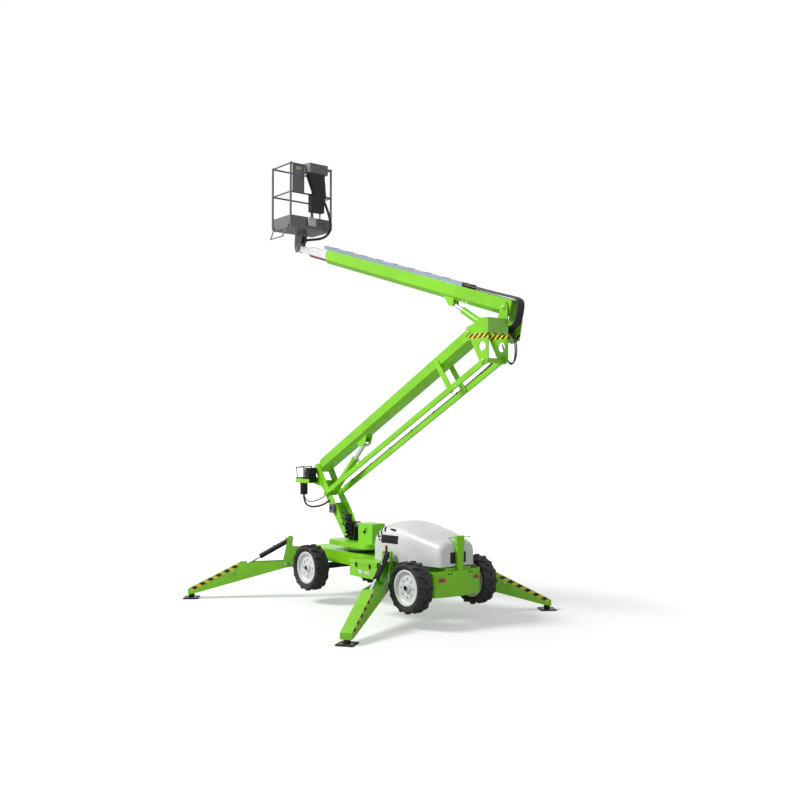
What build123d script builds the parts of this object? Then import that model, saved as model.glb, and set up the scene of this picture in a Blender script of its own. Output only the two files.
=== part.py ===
"""Articulating boom lift on four wheels, standing on its four outriggers.

Millimetres. X points to the machine's left, Y to its rear and Z up from the ground.
The origin lies on the ground under the middle of the machine's outline.
"""

import os
from math import atan2, cos, degrees, hypot, radians, sin

from build123d import *

os.makedirs("parts", exist_ok=True)

# Running clearances shared by every fit
PIN_CLEARANCE = 0.05
FACE_GAP = 0.3

# Stations along the machine, measured from the slew axis
SLEW_Y = -325
FRONT_AXLE = 600
REAR_AXLE = 1990
FOOT_STATION = 2256
FOOT_X = 1959

# Wheels, held clear of the ground by the outriggers
TYRE_D = 760
TYRE_W = 264
TYRE_BEAD_R = 240
TYRE_WALL_R = 262
TYRE_SHOULDER = 26
LUGS = 15
LUG_H = 28
LUG_T = 44
LUG_IN = 10
LUG_OUT = 126
LUG_SWEEP = 40
WHEEL_SIDES = 30
RIM_W = 200
RIM_WALL = 12
RIM_FLANGE = 10
DISC_OUT = 45
DISC_T = 12
HUB_R = 82
HUB_IN = 36
HUB_OUT = 78
SPINDLE_R = 40
TRACK = 1278
WHEEL_LIFT = 208

# Axles and steering
AXLE_BEAM = 90
KINGPIN_X = 540
KINGPIN_R = 22
KNUCKLE_R = 38
KNUCKLE_H = 110
YOKE_T = 24
YOKE_W = 84

# Chassis
SPINE_HALF = 280
SPINE_REAR_HALF = 250
SPINE_LOW = 660
SPINE_TOP = 860
CROSS_D = 180
FRONT_BEAM_HALF = 470
REAR_BEAM_HALF = 385
SPINE_END = 1985
BUMPER_HALF = 420
BUMPER_T = 12
BUMPER_LOW = 450
BUMPER_TOP = 820
BUMPER_BULGE = 60

# Outriggers
LEG_REACH = 1600
FRONT_LEG_YAW = 36
REAR_LEG_YAW = 33
LEG_HINGE_Z = 570
LEG_W = 170
LEG_WALL = 10
LEG_KNEE = 790
LEG_KNEE_Z = 604
LEG_TOE_Z = 75
LEG_TOE_D = 90
LEG_HINGE_R = 55
LEG_HINGE_PIN_R = 30
LEG_ROD_PIN = 900
CHEEK_IN = 52
CHEEK_T = 16
BRACKET_IN = 260
BRACKET_TOP_S = -80
BRACKET_TOP_Z = 993
BRACKET_HEAD_R = 48
FOOT_SIDE = 250
FOOT_T = 22
FOOT_NECK_R = 50

# Hydraulic cylinders: barrel radius, rod radius, barrel length, half width of the eye and
# the piston's distance from the foot as the machine stands
LEG_CYLINDER = (45, 24, 605, 36, 548)
LOWER_CYLINDER = (58, 34, 860, 50, 415)
UPPER_CYLINDER = (52, 30, 682, 46, 306)
BARREL_WALL = 9
GLAND_L = 30
PISTON_L = 30

# Hood, boom rest and side boxes
BOX_TOP = 876
HOOD_FRONT = 920
HOOD_LENGTH = 1385
HOOD_HALF = 462
HOOD_TAIL_HALF = 330
HOOD_LOW = BOX_TOP
HOOD_NOSE_Z = 1290
HOOD_PEAK_Z = 1452
HOOD_TAIL_Z = 1225
HOOD_WALL = 14
SLOT_W = 90
SLOT_H = 42
SLOT_PITCH = 84
ENGINE = (480, 700, 330)
REST_TOP = 1320
REST_HALF = 75
REST_D = 50
REST_LOOP = 215
REST_WIRE_R = 7
BOX_OUT = 750
BOX_LOW = 620
BOX_FRONT = 650
BOX_REAR = 1334

# Turret
RING_R = 260
RING_H = 46
DECK_LOW = 952
DECK_TOP = 1030
DECK_HALF = 300
DECK_FRONT = 640
DECK_REAR = 500
TOWER_HALF = 130
TOWER_D = 380
TOWER_TOP = 1340
POST_IN = 122
POST_T = 15
CONTROL_Y = -1735
CONTROL_Z = 1940
TRAY_W = 220
TRAY_L = 420
TRAY_FRONT = -1830
TRAY_T = 12
GUARD_R = 9
GUARD_H = 250
GUARD_LEAN = 45
GUARD_L = 190
VALVE_H = 250
VALVE_D = 110
PIVOT_R = 35
PIVOT_BOSS_R = 66

# Lower boom and its tie bars
BOOM_PIVOT = (-1495, 2190)
TIE_OFFSET = (310, -410)
LOWER_LENGTH = 4419
LOWER_ANGLE = 27.8
LOWER_W = 230
LOWER_H = 200
LOWER_CHAMFER = 52
LOWER_LUG = 1289
LOWER_LUG_DROP = 170
TIE_IN = 143
TIE_W = 34
TIE_H = 80
TIE_BOSS_R = 52
LINK_BACK = 849
LINK_IN = 122
LINK_T = 16
LINK_R = 45
LINK_PIN_R = 20

# Knuckle
KNUCKLE_IN = 183
KNUCKLE_T = 15
KNUCKLE_OUTER = 402
KNUCKLE_HOLE_R = 70
KNUCKLE_HOLE = (-23, 199)
UPPER_OFFSET = (335, 362)
UPPER_FOOT_OFFSET = (-380, -282)

# Upper boom, telescoping inner boom and hose track
UPPER_X = -300
UPPER_ANGLE = 16.8
UPPER_W = 180
UPPER_H = 240
UPPER_CHAMFER = 66
UPPER_WALL = 9
UPPER_LENGTH = 4688
UPPER_BACK = 110
UPPER_LUG = 1194
UPPER_LUG_DROP = 172
INNER_W = 142
INNER_H = 186
INNER_CHAMFER = 46
INNER_WALL = 8
INNER_REAR = 700
INNER_OUT = 602
NOSE_W = 90
NOSE_H = 110
NOSE_OUT = 420
TRACK_W = 110
TRACK_H = 58
TRACK_START = 900
TRACK_PAST = 150

# Basket
BASKET_BACK = 47.331
BASKET_L = 660
BASKET_W = 930
BASKET_RISE = 336.6659
BASKET_H = 1160
BASKET_TUBE = 20
RAIL_R = 16
MID_RAIL = 0.53
STAY_R = 14
STAYS = (-4, -196)
STEP_DROP = 250
STEP_OUT = 110
STEP_R = 12
FLOOR_T = 30
TOE_H = 190
TOE_T = 6
CONSOLE = (-294, 139)
CONSOLE_H = 180
CONSOLE_IN = 60
CONSOLE_OUT = 120
PANEL = (150, 409)
PANEL_T = 4
COVER_TOP = (-225, 129)
COVER_FOOT = (-263, -43)
COVER_OUT = 120
CABINET = (-205, 71)
CABINET_H = 330

# Values that follow from the sizes above
AXLE_Z = TYRE_D / 2 + WHEEL_LIFT
WHEEL_X = TRACK / 2
FRONT_AXLE_Y = SLEW_Y - FRONT_AXLE
REAR_AXLE_Y = SLEW_Y + REAR_AXLE
LOWER_COS, LOWER_SIN = cos(radians(LOWER_ANGLE)), sin(radians(LOWER_ANGLE))
TRAY_IN = POST_IN + POST_T
LINK_STATION = LOWER_LENGTH - LINK_BACK
INNER_FRONT = UPPER_LENGTH + INNER_OUT
NOSE_PIVOT = INNER_FRONT + NOSE_OUT
UPPER_COS, UPPER_SIN = cos(radians(UPPER_ANGLE)), sin(radians(UPPER_ANGLE))
TIE_PIVOT = (BOOM_PIVOT[0] + TIE_OFFSET[0], BOOM_PIVOT[1] + TIE_OFFSET[1])
BOOM_END = (
    BOOM_PIVOT[0] + LOWER_LENGTH * LOWER_COS,
    BOOM_PIVOT[1] + LOWER_LENGTH * LOWER_SIN,
)
TIE_END = (BOOM_END[0] + TIE_OFFSET[0], BOOM_END[1] + TIE_OFFSET[1])
UPPER_PIVOT = (BOOM_END[0] + UPPER_OFFSET[0], BOOM_END[1] + UPPER_OFFSET[1])
UPPER_FOOT = (UPPER_PIVOT[0] + UPPER_FOOT_OFFSET[0], UPPER_PIVOT[1] + UPPER_FOOT_OFFSET[1])


def on_lower(along, up=0):
    """Point (y, z) a distance along the lower boom from its foot pivot and above its axis."""
    return (
        BOOM_PIVOT[0] + along * LOWER_COS - up * LOWER_SIN,
        BOOM_PIVOT[1] + along * LOWER_SIN + up * LOWER_COS,
    )


def on_upper(along, up=0):
    """Point (y, z) a distance along the upper boom from its pivot and above its axis."""
    return (
        UPPER_PIVOT[0] - along * UPPER_COS + up * UPPER_SIN,
        UPPER_PIVOT[1] + along * UPPER_SIN + up * UPPER_COS,
    )


def lower_section(along):
    """Plane across the lower boom, its second axis pointing up from the boom."""
    y, z = on_lower(along)
    return Plane(origin=(0, y, z), x_dir=(-1, 0, 0), z_dir=(0, LOWER_COS, LOWER_SIN))


def upper_section(along):
    """Plane across the upper boom, its second axis pointing up from the boom."""
    y, z = on_upper(along)
    return Plane(origin=(UPPER_X, y, z), x_dir=(1, 0, 0), z_dir=(0, -UPPER_COS, UPPER_SIN))


def lower_side(x, start=BOOM_PIVOT):
    """Plane beside the lower boom: first axis along the boom, normal to the left."""
    return Plane(origin=(x, *start), x_dir=(0, LOWER_COS, LOWER_SIN), z_dir=(1, 0, 0))


def upper_side(x):
    """Plane beside the upper boom: first axis along the boom, normal to the right."""
    return Plane(origin=(x, *UPPER_PIVOT), x_dir=(0, -UPPER_COS, UPPER_SIN), z_dir=(-1, 0, 0))


def boom_profile(width, height, chamfer_size):
    """Corners of a boom's section: a box with its lower corners cut off."""
    w, h = width / 2, height / 2
    c = chamfer_size
    return [(-w, h), (-w, c - h), (c - w, -h), (w - c, -h), (w, c - h), (w, h)]


def save(builder, name):
    """Label a finished sub-part and write it as its own file."""
    builder.part.label = name
    export_step(builder.part, f"parts/{name}.step")


def tube(start, end, radius):
    """Straight round bar between two points."""
    line = Vector(*end) - Vector(*start)
    with BuildPart() as bar:
        with BuildSketch(Plane(origin=start, z_dir=line)):
            Circle(radius)
        extrude(amount=line.length)
    return bar.part


def drum(sections):
    """Many-sided drum about the X axis through pairs of a station and its flats' distance."""
    with BuildPart() as ring:
        for x, flat in sections:
            with BuildSketch(Plane.YZ.offset(x)):
                RegularPolygon(flat, WHEEL_SIDES, major_radius=False)
        loft(ruled=True)
    return ring.part


SIDES = {"left": 1, "right": -1}
ENDS = {"front": -1, "rear": 1}

# Chassis spine, in two lengths on either side of the rear outrigger beam
front_beam_y = SLEW_Y - (FOOT_STATION - LEG_REACH * sin(radians(FRONT_LEG_YAW))) + 150
rear_beam_y = SLEW_Y + (FOOT_STATION - LEG_REACH * sin(radians(REAR_LEG_YAW))) - 90
front_spine = (front_beam_y + CROSS_D / 2, rear_beam_y - CROSS_D / 2)
rear_spine = (rear_beam_y + CROSS_D / 2, SPINE_END)
with BuildPart() as chassis_frame:
    for (low, high), half in ((front_spine, SPINE_HALF), (rear_spine, SPINE_REAR_HALF)):
        with BuildSketch(Plane.XY.offset(SPINE_LOW)):
            with Locations((0, (low + high) / 2)):
                Rectangle(2 * half, high - low)
        extrude(amount=SPINE_TOP - SPINE_LOW)
save(chassis_frame, "chassis_frame")


def leg_frame(end, side):
    """Vertical plane of one outrigger: first axis out from its hinge, second axis up."""
    yaw = radians(FRONT_LEG_YAW if end < 0 else REAR_LEG_YAW)
    out = (side * cos(yaw), end * sin(yaw))
    hinge = (side * FOOT_X - LEG_REACH * out[0], SLEW_Y + end * FOOT_STATION - LEG_REACH * out[1])
    return Plane(origin=(*hinge, 0), x_dir=(*out, 0), z_dir=(out[1], -out[0], 0))


# Outrigger beams: a cross member with a pair of cheeks and a hinge pin for each leg
for end_name, end in ENDS.items():
    beam_y = front_beam_y if end < 0 else rear_beam_y
    half = FRONT_BEAM_HALF if end < 0 else REAR_BEAM_HALF
    with BuildPart() as outrigger_beam:
        with BuildSketch(Plane.XY.offset(SPINE_LOW - 60)):
            with Locations((0, beam_y)):
                Rectangle(2 * half, CROSS_D)
        extrude(amount=SPINE_TOP - SPINE_LOW + 60)
        for side in SIDES.values():
            leg_plane = leg_frame(end, side)
            for inner in (CHEEK_IN, -CHEEK_IN - CHEEK_T):
                with BuildSketch(leg_plane.offset(inner)):
                    Polygon(
                        (-BRACKET_IN, LEG_HINGE_Z - 30),
                        (-BRACKET_IN, SPINE_TOP),
                        (BRACKET_TOP_S - BRACKET_HEAD_R / 2, SPINE_TOP),
                        (BRACKET_TOP_S - BRACKET_HEAD_R / 2, BRACKET_TOP_Z + BRACKET_HEAD_R),
                        (BRACKET_TOP_S + BRACKET_HEAD_R, BRACKET_TOP_Z + BRACKET_HEAD_R),
                        (LEG_HINGE_R, LEG_HINGE_Z + LEG_HINGE_R),
                        (LEG_HINGE_R, LEG_HINGE_Z - LEG_HINGE_R / 2),
                        (0, LEG_HINGE_Z - LEG_HINGE_R),
                    )
                extrude(amount=CHEEK_T)
            with BuildSketch(leg_plane.offset(-LEG_W / 2)):
                with Locations((0, LEG_HINGE_Z)):
                    Circle(LEG_HINGE_PIN_R)
            extrude(amount=LEG_W)
    save(outrigger_beam, f"{end_name}_outrigger_beam")

# Rear bumper, a bowed plate on a block behind the spine
with BuildPart() as rear_bumper:
    with BuildSketch(Plane.XY.offset(BUMPER_LOW)):
        with BuildLine():
            ThreePointArc(
                (-BUMPER_HALF, SPINE_END),
                (0, SPINE_END + BUMPER_BULGE),
                (BUMPER_HALF, SPINE_END),
            )
            Line((BUMPER_HALF, SPINE_END), (BUMPER_HALF, SPINE_END - BUMPER_T))
            Line((BUMPER_HALF, SPINE_END - BUMPER_T), (SPINE_REAR_HALF + 5, SPINE_END - BUMPER_T))
            Line((SPINE_REAR_HALF + 5, SPINE_END - BUMPER_T), (SPINE_REAR_HALF + 5, SPINE_END))
            Line((SPINE_REAR_HALF + 5, SPINE_END), (-SPINE_REAR_HALF - 5, SPINE_END))
            Line((-SPINE_REAR_HALF - 5, SPINE_END), (-SPINE_REAR_HALF - 5, SPINE_END - BUMPER_T))
            Line((-SPINE_REAR_HALF - 5, SPINE_END - BUMPER_T), (-BUMPER_HALF, SPINE_END - BUMPER_T))
            Line((-BUMPER_HALF, SPINE_END - BUMPER_T), (-BUMPER_HALF, SPINE_END))
        make_face()
    extrude(amount=BUMPER_TOP - BUMPER_LOW)
save(rear_bumper, "rear_bumper")


def hood_sections(wall):
    """Arched cross-sections of the hood from nose to tail, drawn in by a wall thickness."""
    narrowing = HOOD_HALF - HOOD_TAIL_HALF
    fall = HOOD_PEAK_Z - HOOD_TAIL_Z
    stations = (
        (0, HOOD_HALF - 20, HOOD_NOSE_Z),
        (0.06, HOOD_HALF - 8, (HOOD_NOSE_Z + HOOD_PEAK_Z) / 2 + 8),
        (0.16, HOOD_HALF, HOOD_PEAK_Z),
        (0.35, HOOD_HALF - 0.06 * narrowing, HOOD_PEAK_Z - 0.05 * fall),
        (0.6, HOOD_HALF - 0.24 * narrowing, HOOD_PEAK_Z - 0.32 * fall),
        (0.8, HOOD_HALF - 0.52 * narrowing, HOOD_PEAK_Z - 0.63 * fall),
        (1, HOOD_TAIL_HALF, HOOD_TAIL_Z),
    )
    for share, half, top in stations:
        y = SLEW_Y + HOOD_FRONT + share * HOOD_LENGTH + wall * (1 - 2 * share)
        yield y, half - wall, top - wall


HOOD_ARCH = ((1, 0), (1, 0.56), (0.965, 0.73), (0.87, 0.86), (0.69, 0.945), (0.42, 0.985), (0.14, 1))


def hood_form(wall):
    """Solid form of the hood, lofted through its arched sections."""
    with BuildPart() as form:
        for y, half, top in hood_sections(wall):
            right = [(x * half, HOOD_LOW + h * (top - HOOD_LOW)) for x, h in HOOD_ARCH]
            left = [(-x, z) for x, z in reversed(right)]
            with BuildSketch(Plane(origin=(0, y, 0), x_dir=(1, 0, 0), z_dir=(0, -1, 0))):
                with BuildLine():
                    Polyline(*right, *left, close=True)
                make_face()
        loft(ruled=True)
    return form.part


# Engine hood, a moulded shell open below, with three air slots on each front shoulder
nose_y = SLEW_Y + HOOD_FRONT
with BuildPart() as engine_hood:
    add(hood_form(0))
    add(hood_form(HOOD_WALL), mode=Mode.SUBTRACT)
    for side in SIDES.values():
        for step in range(3):
            slot = (nose_y + 62 + 0.78 * step * SLOT_PITCH, HOOD_NOSE_Z - 30 + 0.58 * step * SLOT_PITCH)
            with BuildSketch(Plane.YZ.offset(side * (HOOD_HALF - 120))):
                with Locations(slot):
                    Rectangle(SLOT_H, SLOT_W, rotation=35)
            extrude(amount=side * 140, mode=Mode.SUBTRACT)
save(engine_hood, "engine_hood")

# Engine, one plain block on the spine under the hood
with BuildPart() as engine_block:
    with BuildSketch(Plane.XY.offset(SPINE_TOP)):
        with Locations((0, rear_spine[0] + ENGINE[1] / 2)):
            Rectangle(ENGINE[0], ENGINE[1])
    extrude(amount=ENGINE[2])
save(engine_block, "engine_block")

# Boom rest, a tapered post on the rear bumper
with BuildPart() as boom_rest:
    with BuildSketch(Plane.XY.offset(BUMPER_TOP)):
        with Locations((0, SPINE_END + REST_D / 2 + 5)):
            Rectangle(1.2 * REST_HALF, REST_D)
    with BuildSketch(Plane.XY.offset(REST_TOP - 60)):
        with Locations((0, SPINE_END + REST_D / 2 + 5)):
            Rectangle(2 * REST_HALF, REST_D)
    loft()
    with BuildSketch(Plane.XY.offset(REST_TOP - 60)):
        with Locations((0, SPINE_END + REST_D / 2 + 5)):
            Rectangle(2 * REST_HALF, REST_D)
    extrude(amount=60)
    rest_y = SPINE_END + REST_D / 2 + 5
    for side in SIDES.values():
        root = side * (REST_HALF - 10)
        tip = (side * REST_LOOP, rest_y, REST_TOP - 20)
        add(tube((root, rest_y, REST_TOP - 20), tip, REST_WIRE_R))
        add(tube((0.9 * root, rest_y, REST_TOP - 130), tip, REST_WIRE_R - 1))
save(boom_rest, "boom_rest")

# Side boxes, one each side of the spine, their rear ends cut along the outriggers
rear_slope = sin(radians(REAR_LEG_YAW)) / cos(radians(REAR_LEG_YAW))
with BuildPart() as side_boxes:
    for side in SIDES.values():
        with BuildSketch(Plane.XY.offset(BOX_LOW)):
            Polygon(
                (side * SPINE_HALF, SLEW_Y + BOX_FRONT),
                (side * BOX_OUT, SLEW_Y + BOX_FRONT),
                (side * BOX_OUT, SLEW_Y + BOX_REAR),
                (side * SPINE_HALF, SLEW_Y + BOX_REAR - rear_slope * (BOX_OUT - SPINE_HALF)),
            )
        extrude(amount=BOX_TOP - BOX_LOW)
save(side_boxes, "side_boxes")

# Axles: the front beam ends in yokes for the kingpins, the rear beam in wheel spindles
with BuildPart() as axles:
    with BuildSketch(Plane.YZ.offset(-KINGPIN_X + KNUCKLE_R + 8)):
        with Locations((FRONT_AXLE_Y, AXLE_Z)):
            Rectangle(AXLE_BEAM, AXLE_BEAM)
    extrude(amount=2 * (KINGPIN_X - KNUCKLE_R - 8))
    for side in SIDES.values():
        for level in (AXLE_Z + KNUCKLE_H / 2 + FACE_GAP, AXLE_Z - KNUCKLE_H / 2 - FACE_GAP - YOKE_T):
            with BuildSketch(Plane.XY.offset(level)):
                with Locations((side * (KINGPIN_X - 30), FRONT_AXLE_Y)):
                    Rectangle(YOKE_W + 30, YOKE_W)
            extrude(amount=YOKE_T)
        with BuildSketch(Plane.YZ.offset(side * (KINGPIN_X - 66) - 20)):
            with Locations((FRONT_AXLE_Y, AXLE_Z)):
                Rectangle(YOKE_W, KNUCKLE_H + 2 * YOKE_T)
        extrude(amount=40)
        with BuildSketch(Plane.XY.offset(AXLE_Z - KNUCKLE_H / 2 - YOKE_T)):
            with Locations((side * KINGPIN_X, FRONT_AXLE_Y)):
                Circle(KINGPIN_R)
        extrude(amount=KNUCKLE_H + 2 * YOKE_T)
    with BuildSketch(Plane.XY.offset(AXLE_Z)):
        with Locations((0, FRONT_AXLE_Y)):
            Rectangle(260, AXLE_BEAM)
    extrude(amount=SPINE_LOW - AXLE_Z)
    with BuildSketch(Plane.YZ.offset(-WHEEL_X + HUB_IN + FACE_GAP)):
        with Locations((REAR_AXLE_Y, AXLE_Z)):
            Circle(AXLE_BEAM / 2 + 12)
    extrude(amount=2 * (WHEEL_X - HUB_IN - FACE_GAP))
    with BuildSketch(Plane.YZ.offset(-WHEEL_X - HUB_OUT + 20)):
        with Locations((REAR_AXLE_Y, AXLE_Z)):
            Circle(SPINDLE_R)
    extrude(amount=2 * (WHEEL_X + HUB_OUT - 20))
    with BuildSketch(Plane.XY.offset(AXLE_Z)):
        with Locations((0, REAR_AXLE_Y)):
            Rectangle(260, AXLE_BEAM)
    extrude(amount=SPINE_LOW - AXLE_Z)
save(axles, "axles")

# Steering knuckles: a sleeve on the kingpin with the wheel spindle
for side_name, side in SIDES.items():
    with BuildPart() as steering_knuckle:
        with BuildSketch(Plane.XY.offset(AXLE_Z - KNUCKLE_H / 2)):
            with Locations((side * KINGPIN_X, FRONT_AXLE_Y)):
                Circle(KNUCKLE_R)
        extrude(amount=KNUCKLE_H)
        with BuildSketch(Plane.YZ.offset(side * KINGPIN_X)):
            with Locations((FRONT_AXLE_Y, AXLE_Z)):
                Circle(SPINDLE_R)
        extrude(amount=side * (WHEEL_X - KINGPIN_X + HUB_OUT - 20))
        with BuildSketch(Plane.XY.offset(AXLE_Z - KNUCKLE_H / 2)):
            with Locations((side * KINGPIN_X, FRONT_AXLE_Y)):
                Circle(KINGPIN_R + PIN_CLEARANCE)
        extrude(amount=KNUCKLE_H, mode=Mode.SUBTRACT)
    save(steering_knuckle, f"steering_knuckle_{side_name}")

# Rim drawn about the X axis: a flanged barrel, a dished disc and a hub on the spindle
rim_half = RIM_W / 2
barrel_in = TYRE_BEAD_R - RIM_WALL
with BuildPart() as rim_form:
    add(drum([(-rim_half, TYRE_BEAD_R), (rim_half, TYRE_BEAD_R)]))
    for side in SIDES.values():
        add(drum([(side * (rim_half - RIM_FLANGE), TYRE_WALL_R), (side * rim_half, TYRE_WALL_R)]))
    add(drum([(-rim_half, barrel_in), (DISC_OUT, barrel_in)]), mode=Mode.SUBTRACT)
    add(drum([(DISC_OUT + DISC_T, barrel_in - 30), (rim_half, barrel_in)]), mode=Mode.SUBTRACT)
    with BuildSketch(Plane.YZ.offset(-HUB_IN)):
        Circle(HUB_R)
    extrude(amount=HUB_IN + HUB_OUT)
    with BuildSketch(Plane.YZ.offset(-HUB_IN)):
        Circle(SPINDLE_R + PIN_CLEARANCE)
    extrude(amount=HUB_IN + HUB_OUT, mode=Mode.SUBTRACT)

# Tyre drawn about the X axis: a carcass with slanted lugs that meet in arrows along the tread
bead = rim_half - RIM_FLANGE - FACE_GAP
tyre_half = TYRE_W / 2
carcass = TYRE_D / 2 - LUG_H
lug_low = carcass - 20
lug_top = (TYRE_D**2 / 4 - (LUG_T / 2 + LUG_SWEEP) ** 2) ** 0.5
with BuildPart() as tyre_form:
    add(
        drum(
            [
                (-tyre_half, carcass - 18),
                (-tyre_half + TYRE_SHOULDER, carcass),
                (tyre_half - TYRE_SHOULDER, carcass),
                (tyre_half, carcass - 18),
            ]
        )
    )
    for side in SIDES.values():
        wall = [
            (side * bead, TYRE_WALL_R + 4),
            (side * (tyre_half - 14), TYRE_WALL_R + 12),
            (side * tyre_half, (TYRE_WALL_R + TYRE_D / 2) / 2),
        ]
        add(drum(wall), mode=Mode.SUBTRACT)
    add(drum([(-tyre_half, TYRE_BEAD_R + FACE_GAP), (tyre_half, TYRE_BEAD_R + FACE_GAP)]), mode=Mode.SUBTRACT)
    for side in SIDES.values():
        for lug in range(LUGS):
            turn = radians(360 * (lug + (1 - side) / 4) / LUGS)
            radial = Vector(0, cos(turn), sin(turn))
            with BuildSketch(Plane(origin=radial * lug_low, x_dir=(1, 0, 0), z_dir=radial)):
                Polygon(
                    (side * LUG_IN, -LUG_T / 2),
                    (side * LUG_IN, LUG_T / 2),
                    (side * LUG_OUT, LUG_T / 2 + LUG_SWEEP),
                    (side * LUG_OUT, LUG_SWEEP - LUG_T / 2),
                )
            extrude(amount=lug_top - lug_low)

# Wheels: the rim and the tyre set at each corner
for end_name, end in ENDS.items():
    axle_y = FRONT_AXLE_Y if end < 0 else REAR_AXLE_Y
    for side_name, side in SIDES.items():
        hub = (side * WHEEL_X, axle_y, AXLE_Z)
        with BuildPart() as rim:
            with Locations(Location(hub, (0, 0, 90 - 90 * side))):
                add(rim_form.part)
        save(rim, f"rim_{end_name}_{side_name}")
        with BuildPart() as tyre:
            with Locations(hub):
                add(tyre_form.part)
        save(tyre, f"tyre_{end_name}_{side_name}")


def cylinder_barrel(foot, eye, frame, sizes, name):
    """Barrel of a hydraulic cylinder from its foot eye, bored for the rod and its piston."""
    radius, rod_radius, length, eye_half, piston = sizes
    start = frame.from_local_coords((foot[0], foot[1], 0))
    towards = frame.from_local_coords((eye[0], eye[1], 0)) - start
    across = Plane(origin=start, x_dir=frame.z_dir, z_dir=towards)
    with BuildPart() as barrel:
        with BuildSketch(frame.offset(-eye_half)):
            with Locations(foot):
                Circle(0.82 * radius)
        extrude(amount=2 * eye_half)
        with BuildSketch(across.offset(0.5 * radius)):
            Circle(radius)
        extrude(amount=length - 0.5 * radius)
        with BuildSketch(across.offset(0.9 * radius)):
            Circle(radius - BARREL_WALL)
        extrude(amount=length - GLAND_L - 0.9 * radius, mode=Mode.SUBTRACT)
        with BuildSketch(across.offset(length - GLAND_L)):
            Circle(rod_radius + PIN_CLEARANCE)
        extrude(amount=GLAND_L, mode=Mode.SUBTRACT)
    save(barrel, f"{name}_barrel")


def cylinder_rod(foot, eye, frame, sizes, name, pin_radius):
    """Rod with its piston and its eye, bored for the pin that carries it."""
    radius, rod_radius, length, eye_half, piston = sizes
    start = frame.from_local_coords((foot[0], foot[1], 0))
    end = frame.from_local_coords((eye[0], eye[1], 0))
    span = (end - start).length
    across = Plane(origin=start, x_dir=frame.z_dir, z_dir=end - start)
    with BuildPart() as rod:
        with BuildSketch(across.offset(piston - PISTON_L)):
            Circle(radius - BARREL_WALL - PIN_CLEARANCE)
        extrude(amount=PISTON_L)
        with BuildSketch(across.offset(piston)):
            Circle(rod_radius)
        extrude(amount=span - piston)
        with BuildSketch(frame.offset(-eye_half)):
            with Locations(eye):
                Circle(pin_radius + 18)
        extrude(amount=2 * eye_half)
        with BuildSketch(frame.offset(-eye_half)):
            with Locations(eye):
                Circle(pin_radius + PIN_CLEARANCE)
        extrude(amount=2 * eye_half, mode=Mode.SUBTRACT)
    save(rod, f"{name}_rod")


# Outrigger legs: a tapered box with a pocket in its top for the cylinder, and a swivel foot
def leg_low(s):
    """Height of the leg's lower edge a distance out from its hinge."""
    return LEG_HINGE_Z - LEG_HINGE_R + (LEG_TOE_Z - LEG_HINGE_Z + LEG_HINGE_R) * s / LEG_REACH


LEG_ROD_PIN_R = 22
rod_slope = (BRACKET_TOP_Z - LEG_KNEE_Z) / (0.78 * LEG_KNEE - BRACKET_TOP_S)
LEG_ROD_EYE = (LEG_ROD_PIN, BRACKET_TOP_Z - rod_slope * (LEG_ROD_PIN - BRACKET_TOP_S))
LEG_TIP = LEG_REACH + 50
for end_name, end in ENDS.items():
    for side_name, side in SIDES.items():
        corner = f"{end_name}_{side_name}"
        leg_plane = leg_frame(end, side)
        with BuildPart() as leg:
            with BuildSketch(leg_plane):
                Polygon(
                    (0, LEG_HINGE_Z + LEG_HINGE_R),
                    (LEG_KNEE, LEG_KNEE_Z),
                    (LEG_TIP, LEG_TOE_Z + LEG_TOE_D),
                    (LEG_TIP, LEG_TOE_Z),
                    (LEG_REACH - 60, leg_low(LEG_REACH - 60)),
                    (0, leg_low(0)),
                )
                with Locations((0, LEG_HINGE_Z)):
                    Circle(LEG_HINGE_R)
            extrude(amount=LEG_W / 2, both=True)
            with BuildSketch(leg_plane):
                Polygon(
                    (-LEG_HINGE_R - 1, LEG_HINGE_Z + 2 * LEG_HINGE_R),
                    (-LEG_HINGE_R - 1, LEG_HINGE_Z - LEG_HINGE_R - 1),
                    (LEG_HINGE_R, leg_low(0) - 20),
                    (LEG_HINGE_R + 70, leg_low(LEG_HINGE_R + 70) + LEG_WALL),
                    (LEG_REACH - 160, leg_low(LEG_REACH - 160) + LEG_WALL),
                    (LEG_REACH - 160, LEG_TOE_Z + LEG_TOE_D),
                    (LEG_KNEE, LEG_KNEE_Z - LEG_WALL),
                    (LEG_KNEE - 50, LEG_KNEE_Z + 2 * LEG_HINGE_R),
                )
            extrude(amount=LEG_W / 2 - LEG_WALL, both=True, mode=Mode.SUBTRACT)
            with BuildSketch(leg_plane):
                with Locations((0, LEG_HINGE_Z)):
                    Circle(LEG_HINGE_PIN_R + PIN_CLEARANCE)
            extrude(amount=LEG_W / 2, both=True, mode=Mode.SUBTRACT)
            with BuildSketch(leg_plane):
                with Locations(LEG_ROD_EYE):
                    Circle(LEG_ROD_PIN_R)
            extrude(amount=LEG_W / 2, both=True)
        save(leg, f"leg_{corner}")
        foot_centre = leg_plane.from_local_coords((LEG_REACH, 0, 0))
        foot_plane = Plane(origin=foot_centre, x_dir=leg_plane.x_dir, z_dir=(0, 0, 1))
        with BuildPart() as foot:
            with BuildSketch(foot_plane):
                Rectangle(FOOT_SIDE, FOOT_SIDE)
            extrude(amount=FOOT_T)
            with BuildSketch(foot_plane.offset(FOOT_T)):
                Circle(FOOT_NECK_R)
            extrude(amount=LEG_TOE_Z - FOOT_T)
        save(foot, f"foot_{corner}")
        bracket_top = (BRACKET_TOP_S, BRACKET_TOP_Z)
        cylinder_barrel(bracket_top, LEG_ROD_EYE, leg_plane, LEG_CYLINDER, f"leg_{corner}")
        cylinder_rod(
            bracket_top, LEG_ROD_EYE, leg_plane, LEG_CYLINDER, f"leg_{corner}", LEG_ROD_PIN_R
        )

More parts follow.
